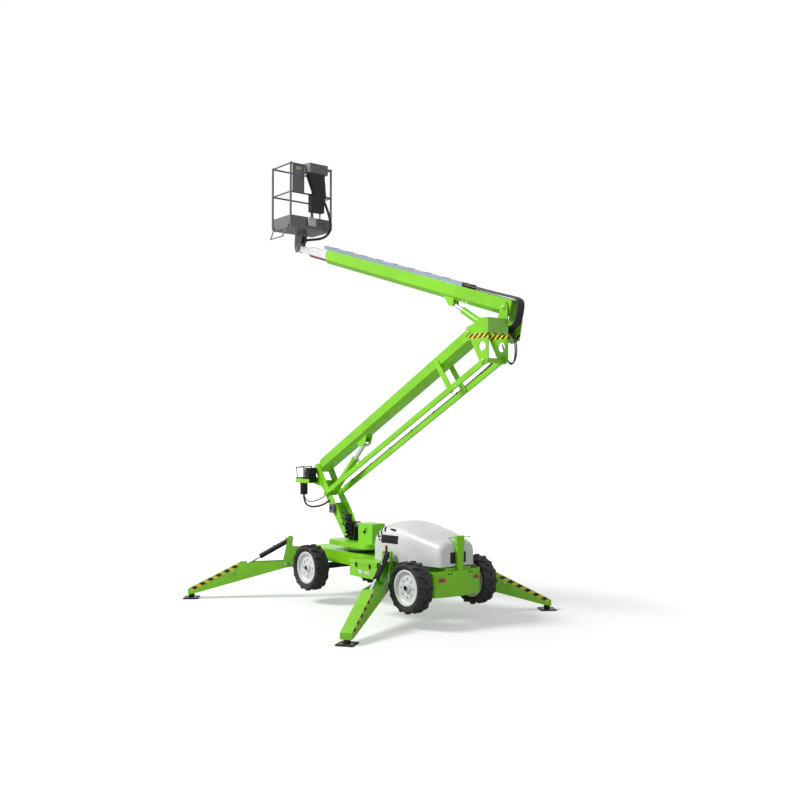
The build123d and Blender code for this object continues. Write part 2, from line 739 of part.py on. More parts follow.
# Slew ring on the spine
with BuildPart() as slew_ring:
    with BuildSketch(Plane.XY.offset(SPINE_TOP)):
        with Locations((0, SLEW_Y)):
            Circle(RING_R)
    extrude(amount=RING_H)
save(slew_ring, "slew_ring")

# Turret deck with its collar over the slew ring and the tower behind the post
with BuildPart() as turret_deck:
    with BuildSketch(Plane.XY.offset(DECK_LOW)):
        with Locations((0, SLEW_Y + (DECK_REAR - DECK_FRONT) / 2)):
            RectangleRounded(2 * DECK_HALF, DECK_FRONT + DECK_REAR, 120)
    extrude(amount=DECK_TOP - DECK_LOW)
    with BuildSketch(Plane.XY.offset(SPINE_TOP + RING_H + FACE_GAP)):
        with Locations((0, SLEW_Y)):
            Circle(RING_R)
    extrude(amount=DECK_LOW - SPINE_TOP - RING_H - FACE_GAP)
    with BuildSketch(Plane.XY.offset(DECK_TOP)):
        with Locations((0, SLEW_Y + TOWER_D / 2 + 30)):
            Rectangle(2 * TOWER_HALF, TOWER_D)
    extrude(amount=TOWER_TOP - DECK_TOP)
save(turret_deck, "turret_deck")

# Boom post: two leaning plates with the boom's and the tie bars' pins, and a web between them
with BuildPart() as boom_post:
    for inner in (POST_IN, -POST_IN - POST_T):
        with BuildSketch(Plane.YZ.offset(inner)):
            Polygon(
                (-530, DECK_TOP),
                (-640, DECK_TOP),
                (-1130, 1600),
                (BOOM_PIVOT[0] - 85, BOOM_PIVOT[1] + 10),
                (BOOM_PIVOT[0] - 40, BOOM_PIVOT[1] + 82),
                (BOOM_PIVOT[0] + 60, BOOM_PIVOT[1] + 75),
                (TIE_PIVOT[0] + 80, TIE_PIVOT[1] + 30),
                (-870, 1540),
            )
        extrude(amount=POST_T)
    with BuildSketch(Plane.YZ.offset(-POST_IN)):
        Polygon((-640, DECK_TOP), (-1130, 1600), (-1118, 1610), (-624, DECK_TOP))
    extrude(amount=2 * POST_IN)
    with BuildSketch(Plane.YZ.offset(-POST_IN - POST_T)):
        with Locations(BOOM_PIVOT):
            Circle(PIVOT_R)
    extrude(amount=2 * (POST_IN + POST_T))
    for side in SIDES.values():
        with BuildSketch(Plane.YZ.offset(side * POST_IN)):
            with Locations(TIE_PIVOT):
                Circle(PIVOT_R)
        extrude(amount=side * (TIE_IN + TIE_W - POST_IN))
save(boom_post, "boom_post")

# Hydraulic controls: the valve block at the foot of the post and the lever station at its head
with BuildPart() as hydraulic_controls:
    with BuildSketch(Plane.XY.offset(DECK_TOP)):
        with Locations((0, -470)):
            Rectangle(2 * POST_IN - 20, 100)
    extrude(amount=230)
    with BuildSketch(Plane.XY.offset(CONTROL_Z + TRAY_T)):
        with Locations((TRAY_IN + TRAY_W / 2, TRAY_FRONT + GUARD_L + 60 + VALVE_D / 2)):
            Rectangle(TRAY_W - 60, VALVE_D)
    extrude(amount=VALVE_H)
    with BuildSketch(Plane.XY.offset(CONTROL_Z - 210)):
        with Locations((TRAY_IN + TRAY_W / 2, CONTROL_Y)):
            Circle(65)
    extrude(amount=210)
save(hydraulic_controls, "hydraulic_controls")

# Control tray, an angle bolted to the left plate of the post
with BuildPart() as control_tray:
    with BuildSketch(Plane.XY.offset(CONTROL_Z)):
        with Locations((TRAY_IN + TRAY_W / 2, TRAY_FRONT + TRAY_L / 2)):
            Rectangle(TRAY_W, TRAY_L)
    extrude(amount=TRAY_T)
    with BuildSketch(Plane.YZ.offset(TRAY_IN)):
        Polygon(
            (TRAY_FRONT + TRAY_L - 250, CONTROL_Z),
            (TRAY_FRONT + TRAY_L + 90, CONTROL_Z - 60),
            (TRAY_FRONT + TRAY_L + 60, CONTROL_Z + 100),
            (TRAY_FRONT + TRAY_L - 150, CONTROL_Z + 100),
        )
    extrude(amount=TRAY_T)
save(control_tray, "control_tray")

# Control guard: two bent wire hoops on the tray round the levers, joined across the front
guard_foot = CONTROL_Z + TRAY_T
guard_top = guard_foot + GUARD_H
with BuildPart() as control_guard:
    for x in (TRAY_IN + 30, TRAY_IN + TRAY_W - 30):
        front = (x, TRAY_FRONT + 20 - GUARD_LEAN, guard_top)
        back = (x, TRAY_FRONT + 20 + GUARD_L, guard_top + 20)
        with BuildSketch(Plane.XY.offset(guard_foot)):
            with Locations((x, TRAY_FRONT + 20 + GUARD_L)):
                Circle(GUARD_R)
        extrude(amount=GUARD_H + 20)
        add(tube(front, back, GUARD_R - 1))
        add(tube((x, TRAY_FRONT + 20, guard_foot + 4), front, GUARD_R - 2))
        with BuildSketch(Plane.XY.offset(guard_foot)):
            with Locations((x, TRAY_FRONT + 20)):
                Circle(GUARD_R)
        extrude(amount=8)
    cross_y = TRAY_FRONT + 20 - GUARD_LEAN
    add(tube((TRAY_IN + 20, cross_y, guard_top), (TRAY_IN + TRAY_W - 20, cross_y, guard_top), GUARD_R))
save(control_guard, "control_guard")

# Lower boom: a box section with pivot sleeves at both ends and lugs for the lift cylinder
PIVOT_EAR = LOWER_H / 2
with BuildPart() as lower_boom:
    with BuildSketch(lower_section(PIVOT_EAR + 10)):
        Polygon(*boom_profile(LOWER_W, LOWER_H, LOWER_CHAMFER))
    extrude(amount=LOWER_LENGTH - 2 * PIVOT_EAR - 20)
    for along, reach in ((0, POST_IN - FACE_GAP), (LOWER_LENGTH, KNUCKLE_IN - FACE_GAP)):
        with BuildSketch(lower_side(-reach)):
            with Locations((along, 0)):
                Circle(PIVOT_BOSS_R)
        extrude(amount=2 * reach)
    for foot_along, tip in ((0, PIVOT_EAR + 20), (LOWER_LENGTH, LOWER_LENGTH - PIVOT_EAR - 20)):
        with BuildSketch(lower_side(-LOWER_W / 2)):
            with Locations(((foot_along + tip) / 2, 0)):
                Rectangle(abs(tip - foot_along), 2 * PIVOT_BOSS_R)
        extrude(amount=LOWER_W)
    lug_in = LOWER_CYLINDER[3] + FACE_GAP
    for inner in (lug_in, -lug_in - KNUCKLE_T):
        with BuildSketch(lower_side(inner)):
            Polygon(
                (LOWER_LUG - 170, -LOWER_H / 2 + 5),
                (LOWER_LUG - 50, -LOWER_LUG_DROP - 40),
                (LOWER_LUG + 50, -LOWER_LUG_DROP - 40),
                (LOWER_LUG + 170, -LOWER_H / 2 + 5),
            )
        extrude(amount=KNUCKLE_T)
    with BuildSketch(lower_side(-lug_in - KNUCKLE_T)):
        with Locations((LOWER_LUG, -LOWER_LUG_DROP)):
            Circle(PIVOT_R - 5)
    extrude(amount=2 * (lug_in + KNUCKLE_T))
    with BuildSketch(lower_side(-LINK_IN - LINK_T)):
        with Locations((LINK_STATION, 0)):
            Circle(LINK_PIN_R)
    extrude(amount=2 * (LINK_IN + LINK_T))
    for along in (0, LOWER_LENGTH):
        with BuildSketch(lower_side(-KNUCKLE_IN)):
            with Locations((along, 0)):
                Circle(PIVOT_R + PIN_CLEARANCE)
        extrude(amount=2 * KNUCKLE_IN, mode=Mode.SUBTRACT)
save(lower_boom, "lower_boom")

# Tie bars, one each side, parallel to the lower boom
with BuildPart() as tie_bars:
    for side in SIDES.values():
        inner = min(side * TIE_IN, side * (TIE_IN + TIE_W))
        with BuildSketch(lower_side(inner, TIE_PIVOT)):
            with Locations((LOWER_LENGTH / 2, 0)):
                Rectangle(LOWER_LENGTH, TIE_H)
            for along in (0, LOWER_LENGTH):
                with Locations((along, 0)):
                    Circle(TIE_BOSS_R)
            for along in (0, LOWER_LENGTH):
                with Locations((along, 0)):
                    Circle(PIVOT_R + PIN_CLEARANCE, mode=Mode.SUBTRACT)
        extrude(amount=TIE_W)
        with BuildSketch(lower_side(side * (LINK_IN), TIE_PIVOT)):
            with Locations((LINK_STATION, 0)):
                Circle(LINK_PIN_R)
        extrude(amount=side * (TIE_IN - LINK_IN))
save(tie_bars, "tie_bars")

# Tie link, a pair of plates that keeps the bars parallel to the boom
LINK_TOP = on_lower(LINK_STATION)
with BuildPart() as tie_link:
    for inner in (LINK_IN, -LINK_IN - LINK_T):
        with BuildSketch(Plane.YZ.offset(inner)):
            with Locations((LINK_TOP[0] + TIE_OFFSET[0] / 2, LINK_TOP[1] + TIE_OFFSET[1] / 2)):
                SlotOverall(
                    hypot(*TIE_OFFSET) + 2 * LINK_R,
                    2 * LINK_R,
                    rotation=degrees(atan2(TIE_OFFSET[1], TIE_OFFSET[0])),
                )
            with Locations(LINK_TOP, (LINK_TOP[0] + TIE_OFFSET[0], LINK_TOP[1] + TIE_OFFSET[1])):
                Circle(LINK_PIN_R + PIN_CLEARANCE, mode=Mode.SUBTRACT)
        extrude(amount=LINK_T)
save(tie_link, "tie_link")

# Lift cylinder of the lower boom, its barrel's foot between the post plates
lower_mid = Plane.YZ
cylinder_barrel(TIE_PIVOT, on_lower(LOWER_LUG, -LOWER_LUG_DROP), lower_mid, LOWER_CYLINDER, "lower_cylinder")
cylinder_rod(
    TIE_PIVOT,
    on_lower(LOWER_LUG, -LOWER_LUG_DROP),
    lower_mid,
    LOWER_CYLINDER,
    "lower_cylinder",
    PIVOT_R - 5,
)

# Knuckle between the booms: two plates round the lower boom, and an outer plate on the right
KNUCKLE_REAR = TIE_END[0] + 100
OUTER_X = -KNUCKLE_OUTER - KNUCKLE_T
with BuildPart() as boom_knuckle:
    with BuildSketch(Plane.YZ.offset(KNUCKLE_IN)):
        Polygon(
            (TIE_END[0] - 60, TIE_END[1] - 40),
            (TIE_END[0] + 70, TIE_END[1] - 40),
            (KNUCKLE_REAR, TIE_END[1] + 40),
            (KNUCKLE_REAR, BOOM_END[1] + 185),
            (BOOM_END[0] + 230, BOOM_END[1] + 190),
            (BOOM_END[0] + 125, BOOM_END[1] + 120),
            (BOOM_END[0] - 30, BOOM_END[1] + 75),
            (BOOM_END[0] - 60, BOOM_END[1] - 50),
            (BOOM_END[0] + 45, BOOM_END[1] - 90),
        )
    extrude(amount=KNUCKLE_T)
    with BuildSketch(Plane.YZ.offset(-KNUCKLE_IN - KNUCKLE_T)):
        Polygon(
            (TIE_END[0] - 60, TIE_END[1] - 40),
            (TIE_END[0] + 70, TIE_END[1] - 40),
            (KNUCKLE_REAR, TIE_END[1] + 40),
            (KNUCKLE_REAR, UPPER_PIVOT[1]),
            (UPPER_PIVOT[0] + 45, UPPER_PIVOT[1] + 65),
            (UPPER_PIVOT[0] - 45, UPPER_PIVOT[1] + 65),
            (UPPER_PIVOT[0] - 125, BOOM_END[1] + 185),
            (UPPER_FOOT[0] - 40, UPPER_FOOT[1] + 60),
            (UPPER_FOOT[0] - 70, UPPER_FOOT[1] - 40),
            (BOOM_END[0] - 60, BOOM_END[1] - 50),
            (BOOM_END[0] + 45, BOOM_END[1] - 90),
        )
    extrude(amount=KNUCKLE_T)
    with BuildSketch(Plane.YZ.offset(OUTER_X)):
        Polygon(
            (UPPER_PIVOT[0] - 60, BOOM_END[1] - 150),
            (UPPER_PIVOT[0] + 90, BOOM_END[1] - 110),
            (UPPER_PIVOT[0] + 150, BOOM_END[1] + 180),
            (UPPER_PIVOT[0] + 60, UPPER_PIVOT[1] + 80),
            (UPPER_PIVOT[0] - 45, UPPER_PIVOT[1] + 65),
            (UPPER_PIVOT[0] - 125, BOOM_END[1] + 185),
            (UPPER_FOOT[0] - 40, UPPER_FOOT[1] + 60),
            (UPPER_FOOT[0] - 70, UPPER_FOOT[1] - 40),
            (UPPER_FOOT[0] + 60, UPPER_FOOT[1] - 120),
        )
    extrude(amount=KNUCKLE_T)
    with BuildSketch(Plane.YZ.offset(-KNUCKLE_IN)):
        Polygon(
            (KNUCKLE_REAR - 14, BOOM_END[1] - 50),
            (KNUCKLE_REAR, BOOM_END[1] - 50),
            (KNUCKLE_REAR, BOOM_END[1] + 185),
            (KNUCKLE_REAR - 14, BOOM_END[1] + 185),
        )
    extrude(amount=2 * KNUCKLE_IN)
    with BuildSketch(Plane.YZ.offset(OUTER_X)):
        with Locations((UPPER_PIVOT[0] - 20, BOOM_END[1] - 100)):
            Rectangle(110, 70)
    extrude(amount=KNUCKLE_OUTER - KNUCKLE_IN)
    with BuildSketch(Plane.YZ.offset(-KNUCKLE_IN - KNUCKLE_T)):
        with Locations((TIE_END[0] + KNUCKLE_HOLE[0], TIE_END[1] + KNUCKLE_HOLE[1])):
            Circle(KNUCKLE_HOLE_R)
    extrude(amount=2 * (KNUCKLE_IN + KNUCKLE_T), mode=Mode.SUBTRACT)
    for place, low, high in (
        (BOOM_END, -KNUCKLE_IN, KNUCKLE_IN),
        (TIE_END, -KNUCKLE_IN, KNUCKLE_IN),
        (UPPER_PIVOT, OUTER_X, -KNUCKLE_IN),
    ):
        with BuildSketch(Plane.YZ.offset(low)):
            with Locations(place):
                Circle(PIVOT_R)
        extrude(amount=high - low)
save(boom_knuckle, "boom_knuckle")

# Upper boom: a hollow box section with its pivot sleeve, cylinder lugs and wear pads at its mouth
pad_x = (UPPER_W - INNER_W - UPPER_WALL) / 2 - FACE_GAP
pad_y = (UPPER_H - INNER_H - UPPER_WALL) / 2 - FACE_GAP
with BuildPart() as upper_boom:
    with BuildSketch(upper_section(-UPPER_BACK)):
        Polygon(*boom_profile(UPPER_W, UPPER_H, UPPER_CHAMFER))
    extrude(amount=UPPER_LENGTH + UPPER_BACK)
    with BuildSketch(upper_section(UPPER_BACK + 150)):
        Polygon(*boom_profile(UPPER_W - 2 * UPPER_WALL, UPPER_H - 2 * UPPER_WALL, UPPER_CHAMFER - 5))
    extrude(amount=UPPER_LENGTH, mode=Mode.SUBTRACT)
    for along in (UPPER_LENGTH - 120, UPPER_LENGTH - 1500):
        with BuildSketch(upper_section(along)):
            with Locations((0, INNER_H / 2 + FACE_GAP + pad_y / 2), (0, -INNER_H / 2 - FACE_GAP - pad_y / 2)):
                Rectangle(40, pad_y)
            with Locations((INNER_W / 2 + FACE_GAP + pad_x / 2, 30), (-INNER_W / 2 - FACE_GAP - pad_x / 2, 30)):
                Rectangle(pad_x, 60)
        extrude(amount=100)
    with BuildSketch(upper_side(-KNUCKLE_IN - KNUCKLE_T - FACE_GAP)):
        Circle(PIVOT_BOSS_R)
    extrude(amount=KNUCKLE_OUTER - KNUCKLE_IN - KNUCKLE_T - 2 * FACE_GAP)
    upper_lug_in = UPPER_CYLINDER[3] + FACE_GAP
    for inner in (UPPER_X + upper_lug_in + KNUCKLE_T, UPPER_X - upper_lug_in):
        with BuildSketch(upper_side(inner)):
            Polygon(
                (UPPER_LUG - 60, -UPPER_H / 2 + 36),
                (UPPER_LUG - 50, -UPPER_LUG_DROP - 30),
                (UPPER_LUG + 30, -UPPER_LUG_DROP - 40),
                (UPPER_LUG + 190, -UPPER_H / 2 + 36),
            )
        extrude(amount=KNUCKLE_T)
    with BuildSketch(upper_side(UPPER_X + upper_lug_in + KNUCKLE_T)):
        with Locations((UPPER_LUG, -UPPER_LUG_DROP)):
            Circle(PIVOT_R - 10)
    extrude(amount=2 * (upper_lug_in + KNUCKLE_T))
    with BuildSketch(upper_side(-KNUCKLE_IN)):
        Circle(PIVOT_R + PIN_CLEARANCE)
    extrude(amount=KNUCKLE_OUTER, mode=Mode.SUBTRACT)
save(upper_boom, "upper_boom")

# Hose track along the top of the upper boom
with BuildPart() as hose_track:
    with BuildSketch(upper_section(TRACK_START)):
        with Locations((0, (UPPER_H + TRACK_H) / 2)):
            Rectangle(TRACK_W, TRACK_H)
    extrude(amount=UPPER_LENGTH + TRACK_PAST - TRACK_START)
save(hose_track, "hose_track")

# Lift cylinder of the upper boom, its barrel's foot between the knuckle's plates
upper_mid = Plane.YZ.offset(UPPER_X)
upper_eye = on_upper(UPPER_LUG, -UPPER_LUG_DROP)
cylinder_barrel(UPPER_FOOT, upper_eye, upper_mid, UPPER_CYLINDER, "upper_cylinder")
cylinder_rod(UPPER_FOOT, upper_eye, upper_mid, UPPER_CYLINDER, "upper_cylinder", PIVOT_R - 10)

# Inner boom: a hollow box section that slides in the upper boom, with a forked nose
with BuildPart() as inner_boom:
    with BuildSketch(upper_section(INNER_REAR)):
        Polygon(*boom_profile(INNER_W, INNER_H, INNER_CHAMFER))
    extrude(amount=INNER_FRONT - INNER_REAR)
    with BuildSketch(upper_section(INNER_REAR)):
        Polygon(*boom_profile(INNER_W - 2 * INNER_WALL, INNER_H - 2 * INNER_WALL, INNER_CHAMFER - 4))
    extrude(amount=INNER_FRONT - INNER_REAR - 40, mode=Mode.SUBTRACT)
    with BuildSketch(upper_section(INNER_FRONT)):
        Rectangle(NOSE_W, NOSE_H)
    extrude(amount=NOSE_PIVOT - INNER_FRONT)
    with BuildSketch(upper_side(UPPER_X + NOSE_W / 2)):
        with Locations((NOSE_PIVOT, 0)):
            Circle(NOSE_H / 2)
    extrude(amount=NOSE_W)
    with BuildSketch(upper_side(UPPER_X + NOSE_W / 2)):
        with Locations((NOSE_PIVOT, 0)):
            Circle(PIVOT_R - 10 + PIN_CLEARANCE)
    extrude(amount=NOSE_W, mode=Mode.SUBTRACT)
save(inner_boom, "inner_boom")

# Basket bracket: a fork on the boom's nose that carries the turning post under the basket
NOSE = on_upper(NOSE_PIVOT)
BASKET_Y = NOSE[0] + BASKET_BACK
BASKET_FLOOR = NOSE[1] + BASKET_RISE
BRACKET_IN_X = NOSE_W / 2 + FACE_GAP
BRACKET_HEAD_Z = BASKET_FLOOR - 70
with BuildPart() as basket_bracket:
    for inner in (UPPER_X + BRACKET_IN_X, UPPER_X - BRACKET_IN_X - KNUCKLE_T):
        with BuildSketch(Plane.YZ.offset(inner)):
            Polygon(
                (NOSE[0] - 70, NOSE[1] - 70),
                (NOSE[0] + 40, NOSE[1] - 70),
                (NOSE[0] + 70, NOSE[1] + 20),
                (BASKET_Y + 120, BRACKET_HEAD_Z),
                (BASKET_Y - 140, BRACKET_HEAD_Z),
                (NOSE[0] - 110, NOSE[1] + 40),
            )
        extrude(amount=KNUCKLE_T)
    with BuildSketch(Plane.YZ.offset(UPPER_X - BRACKET_IN_X - KNUCKLE_T)):
        with Locations(NOSE):
            Circle(PIVOT_R - 10)
    extrude(amount=2 * (BRACKET_IN_X + KNUCKLE_T))
    with BuildSketch(Plane.XY.offset(BRACKET_HEAD_Z - 60)):
        with Locations((UPPER_X, BASKET_Y)):
            Rectangle(2 * BRACKET_IN_X, 200)
    extrude(amount=60)
    with BuildSketch(Plane.XY.offset(BRACKET_HEAD_Z)):
        with Locations((UPPER_X, BASKET_Y)):
            Circle(90)
    extrude(amount=BASKET_FLOOR - FLOOR_T - FACE_GAP - BRACKET_HEAD_Z)
save(basket_bracket, "basket_bracket")

# Basket floor, a tray on the turning post
with BuildPart() as basket_floor:
    with BuildSketch(Plane.XY.offset(BASKET_FLOOR - FLOOR_T)):
        with Locations((UPPER_X, BASKET_Y)):
            Rectangle(BASKET_W - 2 * BASKET_TUBE, BASKET_L - 2 * BASKET_TUBE)
    extrude(amount=FLOOR_T)
save(basket_floor, "basket_floor")

# Basket frame: corner posts, top and middle rails, rear stays, a step loop and toe boards
rail_x = BASKET_W / 2 - BASKET_TUBE
rail_y = BASKET_L / 2 - BASKET_TUBE
MID_Z = BASKET_FLOOR + MID_RAIL * BASKET_H
TOP_Z = BASKET_FLOOR + BASKET_H - BASKET_TUBE
REAR_Y = BASKET_Y + rail_y
with BuildPart() as basket_frame:
    with BuildSketch(Plane.XY.offset(BASKET_FLOOR)):
        with Locations((UPPER_X, BASKET_Y)):
            with GridLocations(2 * rail_x, 2 * rail_y, 2, 2):
                Circle(BASKET_TUBE)
    extrude(amount=BASKET_H)
    for z in (MID_Z, TOP_Z):
        for y in (BASKET_Y - rail_y, REAR_Y):
            add(tube((UPPER_X - rail_x, y, z), (UPPER_X + rail_x, y, z), RAIL_R))
        for x in (UPPER_X - rail_x, UPPER_X + rail_x):
            add(tube((x, BASKET_Y - rail_y, z), (x, REAR_Y, z), RAIL_R - 1))
    with BuildSketch(Plane.XY.offset(BASKET_FLOOR)):
        with Locations(*[(UPPER_X + x, REAR_Y) for x in STAYS]):
            Circle(STAY_R)
    extrude(amount=MID_Z - BASKET_FLOOR)
    step_x = UPPER_X + rail_x - TOE_T / 2
    step_z = BASKET_FLOOR + 40
    for side in SIDES.values():
        head = (step_x, BASKET_Y + side * (rail_y - 60), step_z)
        tread_end = (step_x + STEP_OUT, BASKET_Y + side * (rail_y - 110), step_z - STEP_DROP)
        add(tube(head, tread_end, STEP_R))
    tread_y = rail_y - 110 + STEP_R
    tread = [(step_x + STEP_OUT, BASKET_Y + side * tread_y, step_z - STEP_DROP) for side in (1, -1)]
    add(tube(*tread, STEP_R - 1))
    with BuildSketch(Plane.XY.offset(BASKET_FLOOR)):
        with Locations((UPPER_X, BASKET_Y)):
            Rectangle(2 * rail_x, 2 * rail_y)
            Rectangle(2 * rail_x - 2 * TOE_T, 2 * rail_y - 2 * TOE_T, mode=Mode.SUBTRACT)
    extrude(amount=TOE_H)
save(basket_frame, "basket_frame")

# Basket console: the control box astride the rear rail and the document panel beside it
CONSOLE_Z = TOP_Z + RAIL_R + 19 - CONSOLE_H
with BuildPart() as basket_console:
    with BuildSketch(Plane.XY.offset(CONSOLE_Z)):
        Polygon(
            (UPPER_X + CONSOLE[0], REAR_Y - CONSOLE_IN),
            (UPPER_X + CONSOLE[1], REAR_Y - CONSOLE_IN),
            (UPPER_X + CONSOLE[1], REAR_Y),
            (UPPER_X + CONSOLE[1] - 40, REAR_Y + CONSOLE_OUT),
            (UPPER_X + CONSOLE[0], REAR_Y + CONSOLE_OUT),
        )
    extrude(amount=CONSOLE_H)
    with BuildSketch(Plane.YZ.offset(UPPER_X + CONSOLE[0])):
        with Locations((REAR_Y, TOP_Z)):
            Circle(RAIL_R + PIN_CLEARANCE)
    extrude(amount=CONSOLE[1] - CONSOLE[0], mode=Mode.SUBTRACT)
    with BuildSketch(Plane.XZ.offset(-REAR_Y - PANEL_T / 2)):
        with Locations((UPPER_X + sum(PANEL) / 2, (MID_Z + TOP_Z) / 2)):
            Rectangle(PANEL[1] - PANEL[0], TOP_Z - MID_Z - 2 * RAIL_R)
    extrude(amount=PANEL_T)
save(basket_console, "basket_console")

# Basket cabinet: a tapered cover under the console that runs into a box outside the rear stays
cover_in = REAR_Y + RAIL_R
with BuildPart() as basket_cabinet:
    with BuildSketch(Plane.XZ.offset(-cover_in)):
        Polygon(
            (UPPER_X + COVER_TOP[0], CONSOLE_Z),
            (UPPER_X + COVER_FOOT[0], MID_Z - 60),
            (UPPER_X + COVER_FOOT[1], MID_Z - 60),
            (UPPER_X + COVER_TOP[1], CONSOLE_Z - 40),
            (UPPER_X + COVER_TOP[1] - 40, CONSOLE_Z),
        )
    extrude(amount=-COVER_OUT + 20)
    with BuildSketch(Plane.XZ.offset(-cover_in)):
        with Locations((UPPER_X + sum(CABINET) / 2, MID_Z - CABINET_H / 2 - 10)):
            Rectangle(CABINET[1] - CABINET[0], CABINET_H)
    extrude(amount=-COVER_OUT)
save(basket_cabinet, "basket_cabinet")

print("boom pivot", BOOM_PIVOT, "boom end", BOOM_END, "tie end", TIE_END)
print("upper pivot", UPPER_PIVOT, "upper foot", UPPER_FOOT, "nose", NOSE)
print("lower eye", on_lower(LOWER_LUG, -LOWER_LUG_DROP), "upper eye", upper_eye)
print("leg rod eye", LEG_ROD_EYE, "lift angle", degrees(atan2(-rod_slope, 1)))
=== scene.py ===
# %% [markdown]
# # Articulating boom lift
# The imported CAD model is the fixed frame: every piece below is placed in its coordinates, in metres. X points
# to the machine's left, Y to its rear and Z up from the ground.

# %% Load the frame
from math import cos, pi, radians, sin

import bmesh
import bpy
from mathutils import Matrix, Vector


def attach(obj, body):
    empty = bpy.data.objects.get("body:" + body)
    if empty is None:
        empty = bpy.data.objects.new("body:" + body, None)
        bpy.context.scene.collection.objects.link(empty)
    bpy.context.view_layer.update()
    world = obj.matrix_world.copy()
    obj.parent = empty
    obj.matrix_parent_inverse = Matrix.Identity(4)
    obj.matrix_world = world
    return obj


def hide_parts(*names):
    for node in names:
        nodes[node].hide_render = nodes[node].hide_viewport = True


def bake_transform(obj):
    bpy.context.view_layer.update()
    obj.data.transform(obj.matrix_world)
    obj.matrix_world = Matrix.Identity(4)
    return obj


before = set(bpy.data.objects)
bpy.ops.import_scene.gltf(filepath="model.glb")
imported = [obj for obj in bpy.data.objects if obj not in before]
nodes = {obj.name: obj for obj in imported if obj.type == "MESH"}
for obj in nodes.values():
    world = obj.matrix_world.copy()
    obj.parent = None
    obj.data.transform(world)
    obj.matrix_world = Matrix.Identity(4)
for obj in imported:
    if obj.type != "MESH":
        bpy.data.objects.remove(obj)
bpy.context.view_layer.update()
scene = bpy.context.scene

# %% [markdown]
# A boom lift folds about a few pins: the foot and head of the lower boom, the foot of the upper boom and its
# nose. They could be read off the CAD by eye. Here they are worked out from two lengths and two angles,
# because hoses, pin caps and trim then land on the CAD's own pins.

# %% Pivots and directions
LOWER = radians(27.8)
UPPER = radians(16.8)
LOWER_SPAN = 4.419
NOSE_REACH = 5.71
BOOM_X = -0.3
KNUCKLE_STEP = Vector((BOOM_X, 0.335, 0.362))
ALONG_LOWER = Vector((0, cos(LOWER), sin(LOWER)))
UP_LOWER = Vector((0, -sin(LOWER), cos(LOWER)))
ALONG_UPPER = Vector((0, -cos(UPPER), sin(UPPER)))
UP_UPPER = Vector((0, sin(UPPER), cos(UPPER)))
BOOM_FOOT = Vector((0, -1.495, 2.19))
TIE_FOOT = Vector((0, -1.185, 1.78))
BOOM_HEAD = BOOM_FOOT + LOWER_SPAN * ALONG_LOWER
TIE_HEAD = TIE_FOOT + LOWER_SPAN * ALONG_LOWER
UPPER_FOOT = BOOM_HEAD + KNUCKLE_STEP
NOSE = UPPER_FOOT + NOSE_REACH * ALONG_UPPER
CORNERS = [(end, side) for end in ("front", "rear") for side in ("left", "right")]
SLEW_Y, HINGE_Z, LEG_REACH = -0.325, 0.57, 1.6
FOOT_X, FOOT_STATION = 1.959, 2.256
LEG_YAW = {"front": radians(36), "rear": radians(33)}


def leg_axes(end, side):
    """Hinge point and outward direction of one outrigger."""
    back, left = (-1 if end == "front" else 1), (1 if side == "left" else -1)
    out = Vector((left * cos(LEG_YAW[end]), back * sin(LEG_YAW[end]), 0))
    foot = Vector((left * FOOT_X, SLEW_Y + back * FOOT_STATION, HINGE_Z))
    return foot - LEG_REACH * out, out


def on_upper(along, up=0.0, x=0.0):
    """Point beside the upper boom, x measured from its middle."""
    return UPPER_FOOT + along * ALONG_UPPER + up * UP_UPPER + Vector((x, 0, 0))


print("boom head", BOOM_HEAD[:], "nose", NOSE[:])

# %% [markdown]
# A finish is a small program of noise, masks and mixes that runs at every point of a surface. Its nodes could
# be added and linked one by one, but long chains of them are hard to read. A `Wire` holds one socket instead,
# and its operators add the Math nodes, so that a mask reads as plain arithmetic.


# %% Shader wires
class Wire:
    """One output socket of a shader tree, used like a number."""

    def __init__(self, tree, socket):
        self.tree, self.socket = tree, socket

    def node(self, kind, *values, out=0, **settings):
        """Add a node, feed its inputs in order, and return one of its outputs."""
        made = self.tree.nodes.new(kind)
        for key, value in settings.items():
            setattr(made, key, value)
        for place, value in enumerate(values):
            if isinstance(value, Wire):
                self.tree.links.new(value.socket, made.inputs[place])
            elif value is not None:
                made.inputs[place].default_value = value
        return Wire(self.tree, made.outputs[out])

    def _sum(self, operation, first, second=None):
        return self.node("ShaderNodeMath", first, second, operation=operation)

    def __add__(self, other):
        return self._sum("ADD", self, other)

    def __sub__(self, other):
        return self._sum("SUBTRACT", self, other)

    def __rsub__(self, other):
        return self._sum("SUBTRACT", other, self)

    def __mul__(self, other):
        return self._sum("MULTIPLY", self, other)

    def __truediv__(self, other):
        return self._sum("DIVIDE", self, other)

    def __pow__(self, other):
        return self._sum("POWER", self, other)

    def __gt__(self, other):
        return self._sum("GREATER_THAN", self, other)

    def __lt__(self, other):
        return self._sum("LESS_THAN", self, other)

    __radd__, __rmul__ = __add__, __mul__

    def fract(self):
        """What is left after the whole number."""
        return self._sum("FRACT", self)

    def ramp(self, low, high, start=0.0, end=1.0):
        """Smooth step from start at low to end at high."""
        return self.node("ShaderNodeMapRange", self, low, high, start, end, interpolation_type="SMOOTHSTEP")

    def blend(self, first, second):
        """Colour between first and second, with this wire as the factor."""
        skip = [None] * 5
        return self.node("ShaderNodeMix", self, *skip, first, second, out=2, data_type="RGBA")


print("wires ready", Wire.__name__)

# %% [markdown]
# A few helpers wrap the nodes that every finish needs: the coordinates of a point, how far it lies along a
# direction, cloudy noise, stretched coordinates and a bump. `material` makes a Principled shader. What is the
# same all over is set on the shader's own sockets, and only what varies is linked, so that an export can bake
# it.


# %% Shader helpers
def split(place):
    """X, Y and Z of a vector wire."""
    return [place.node("ShaderNodeSeparateXYZ", place, out=i) for i in range(3)]


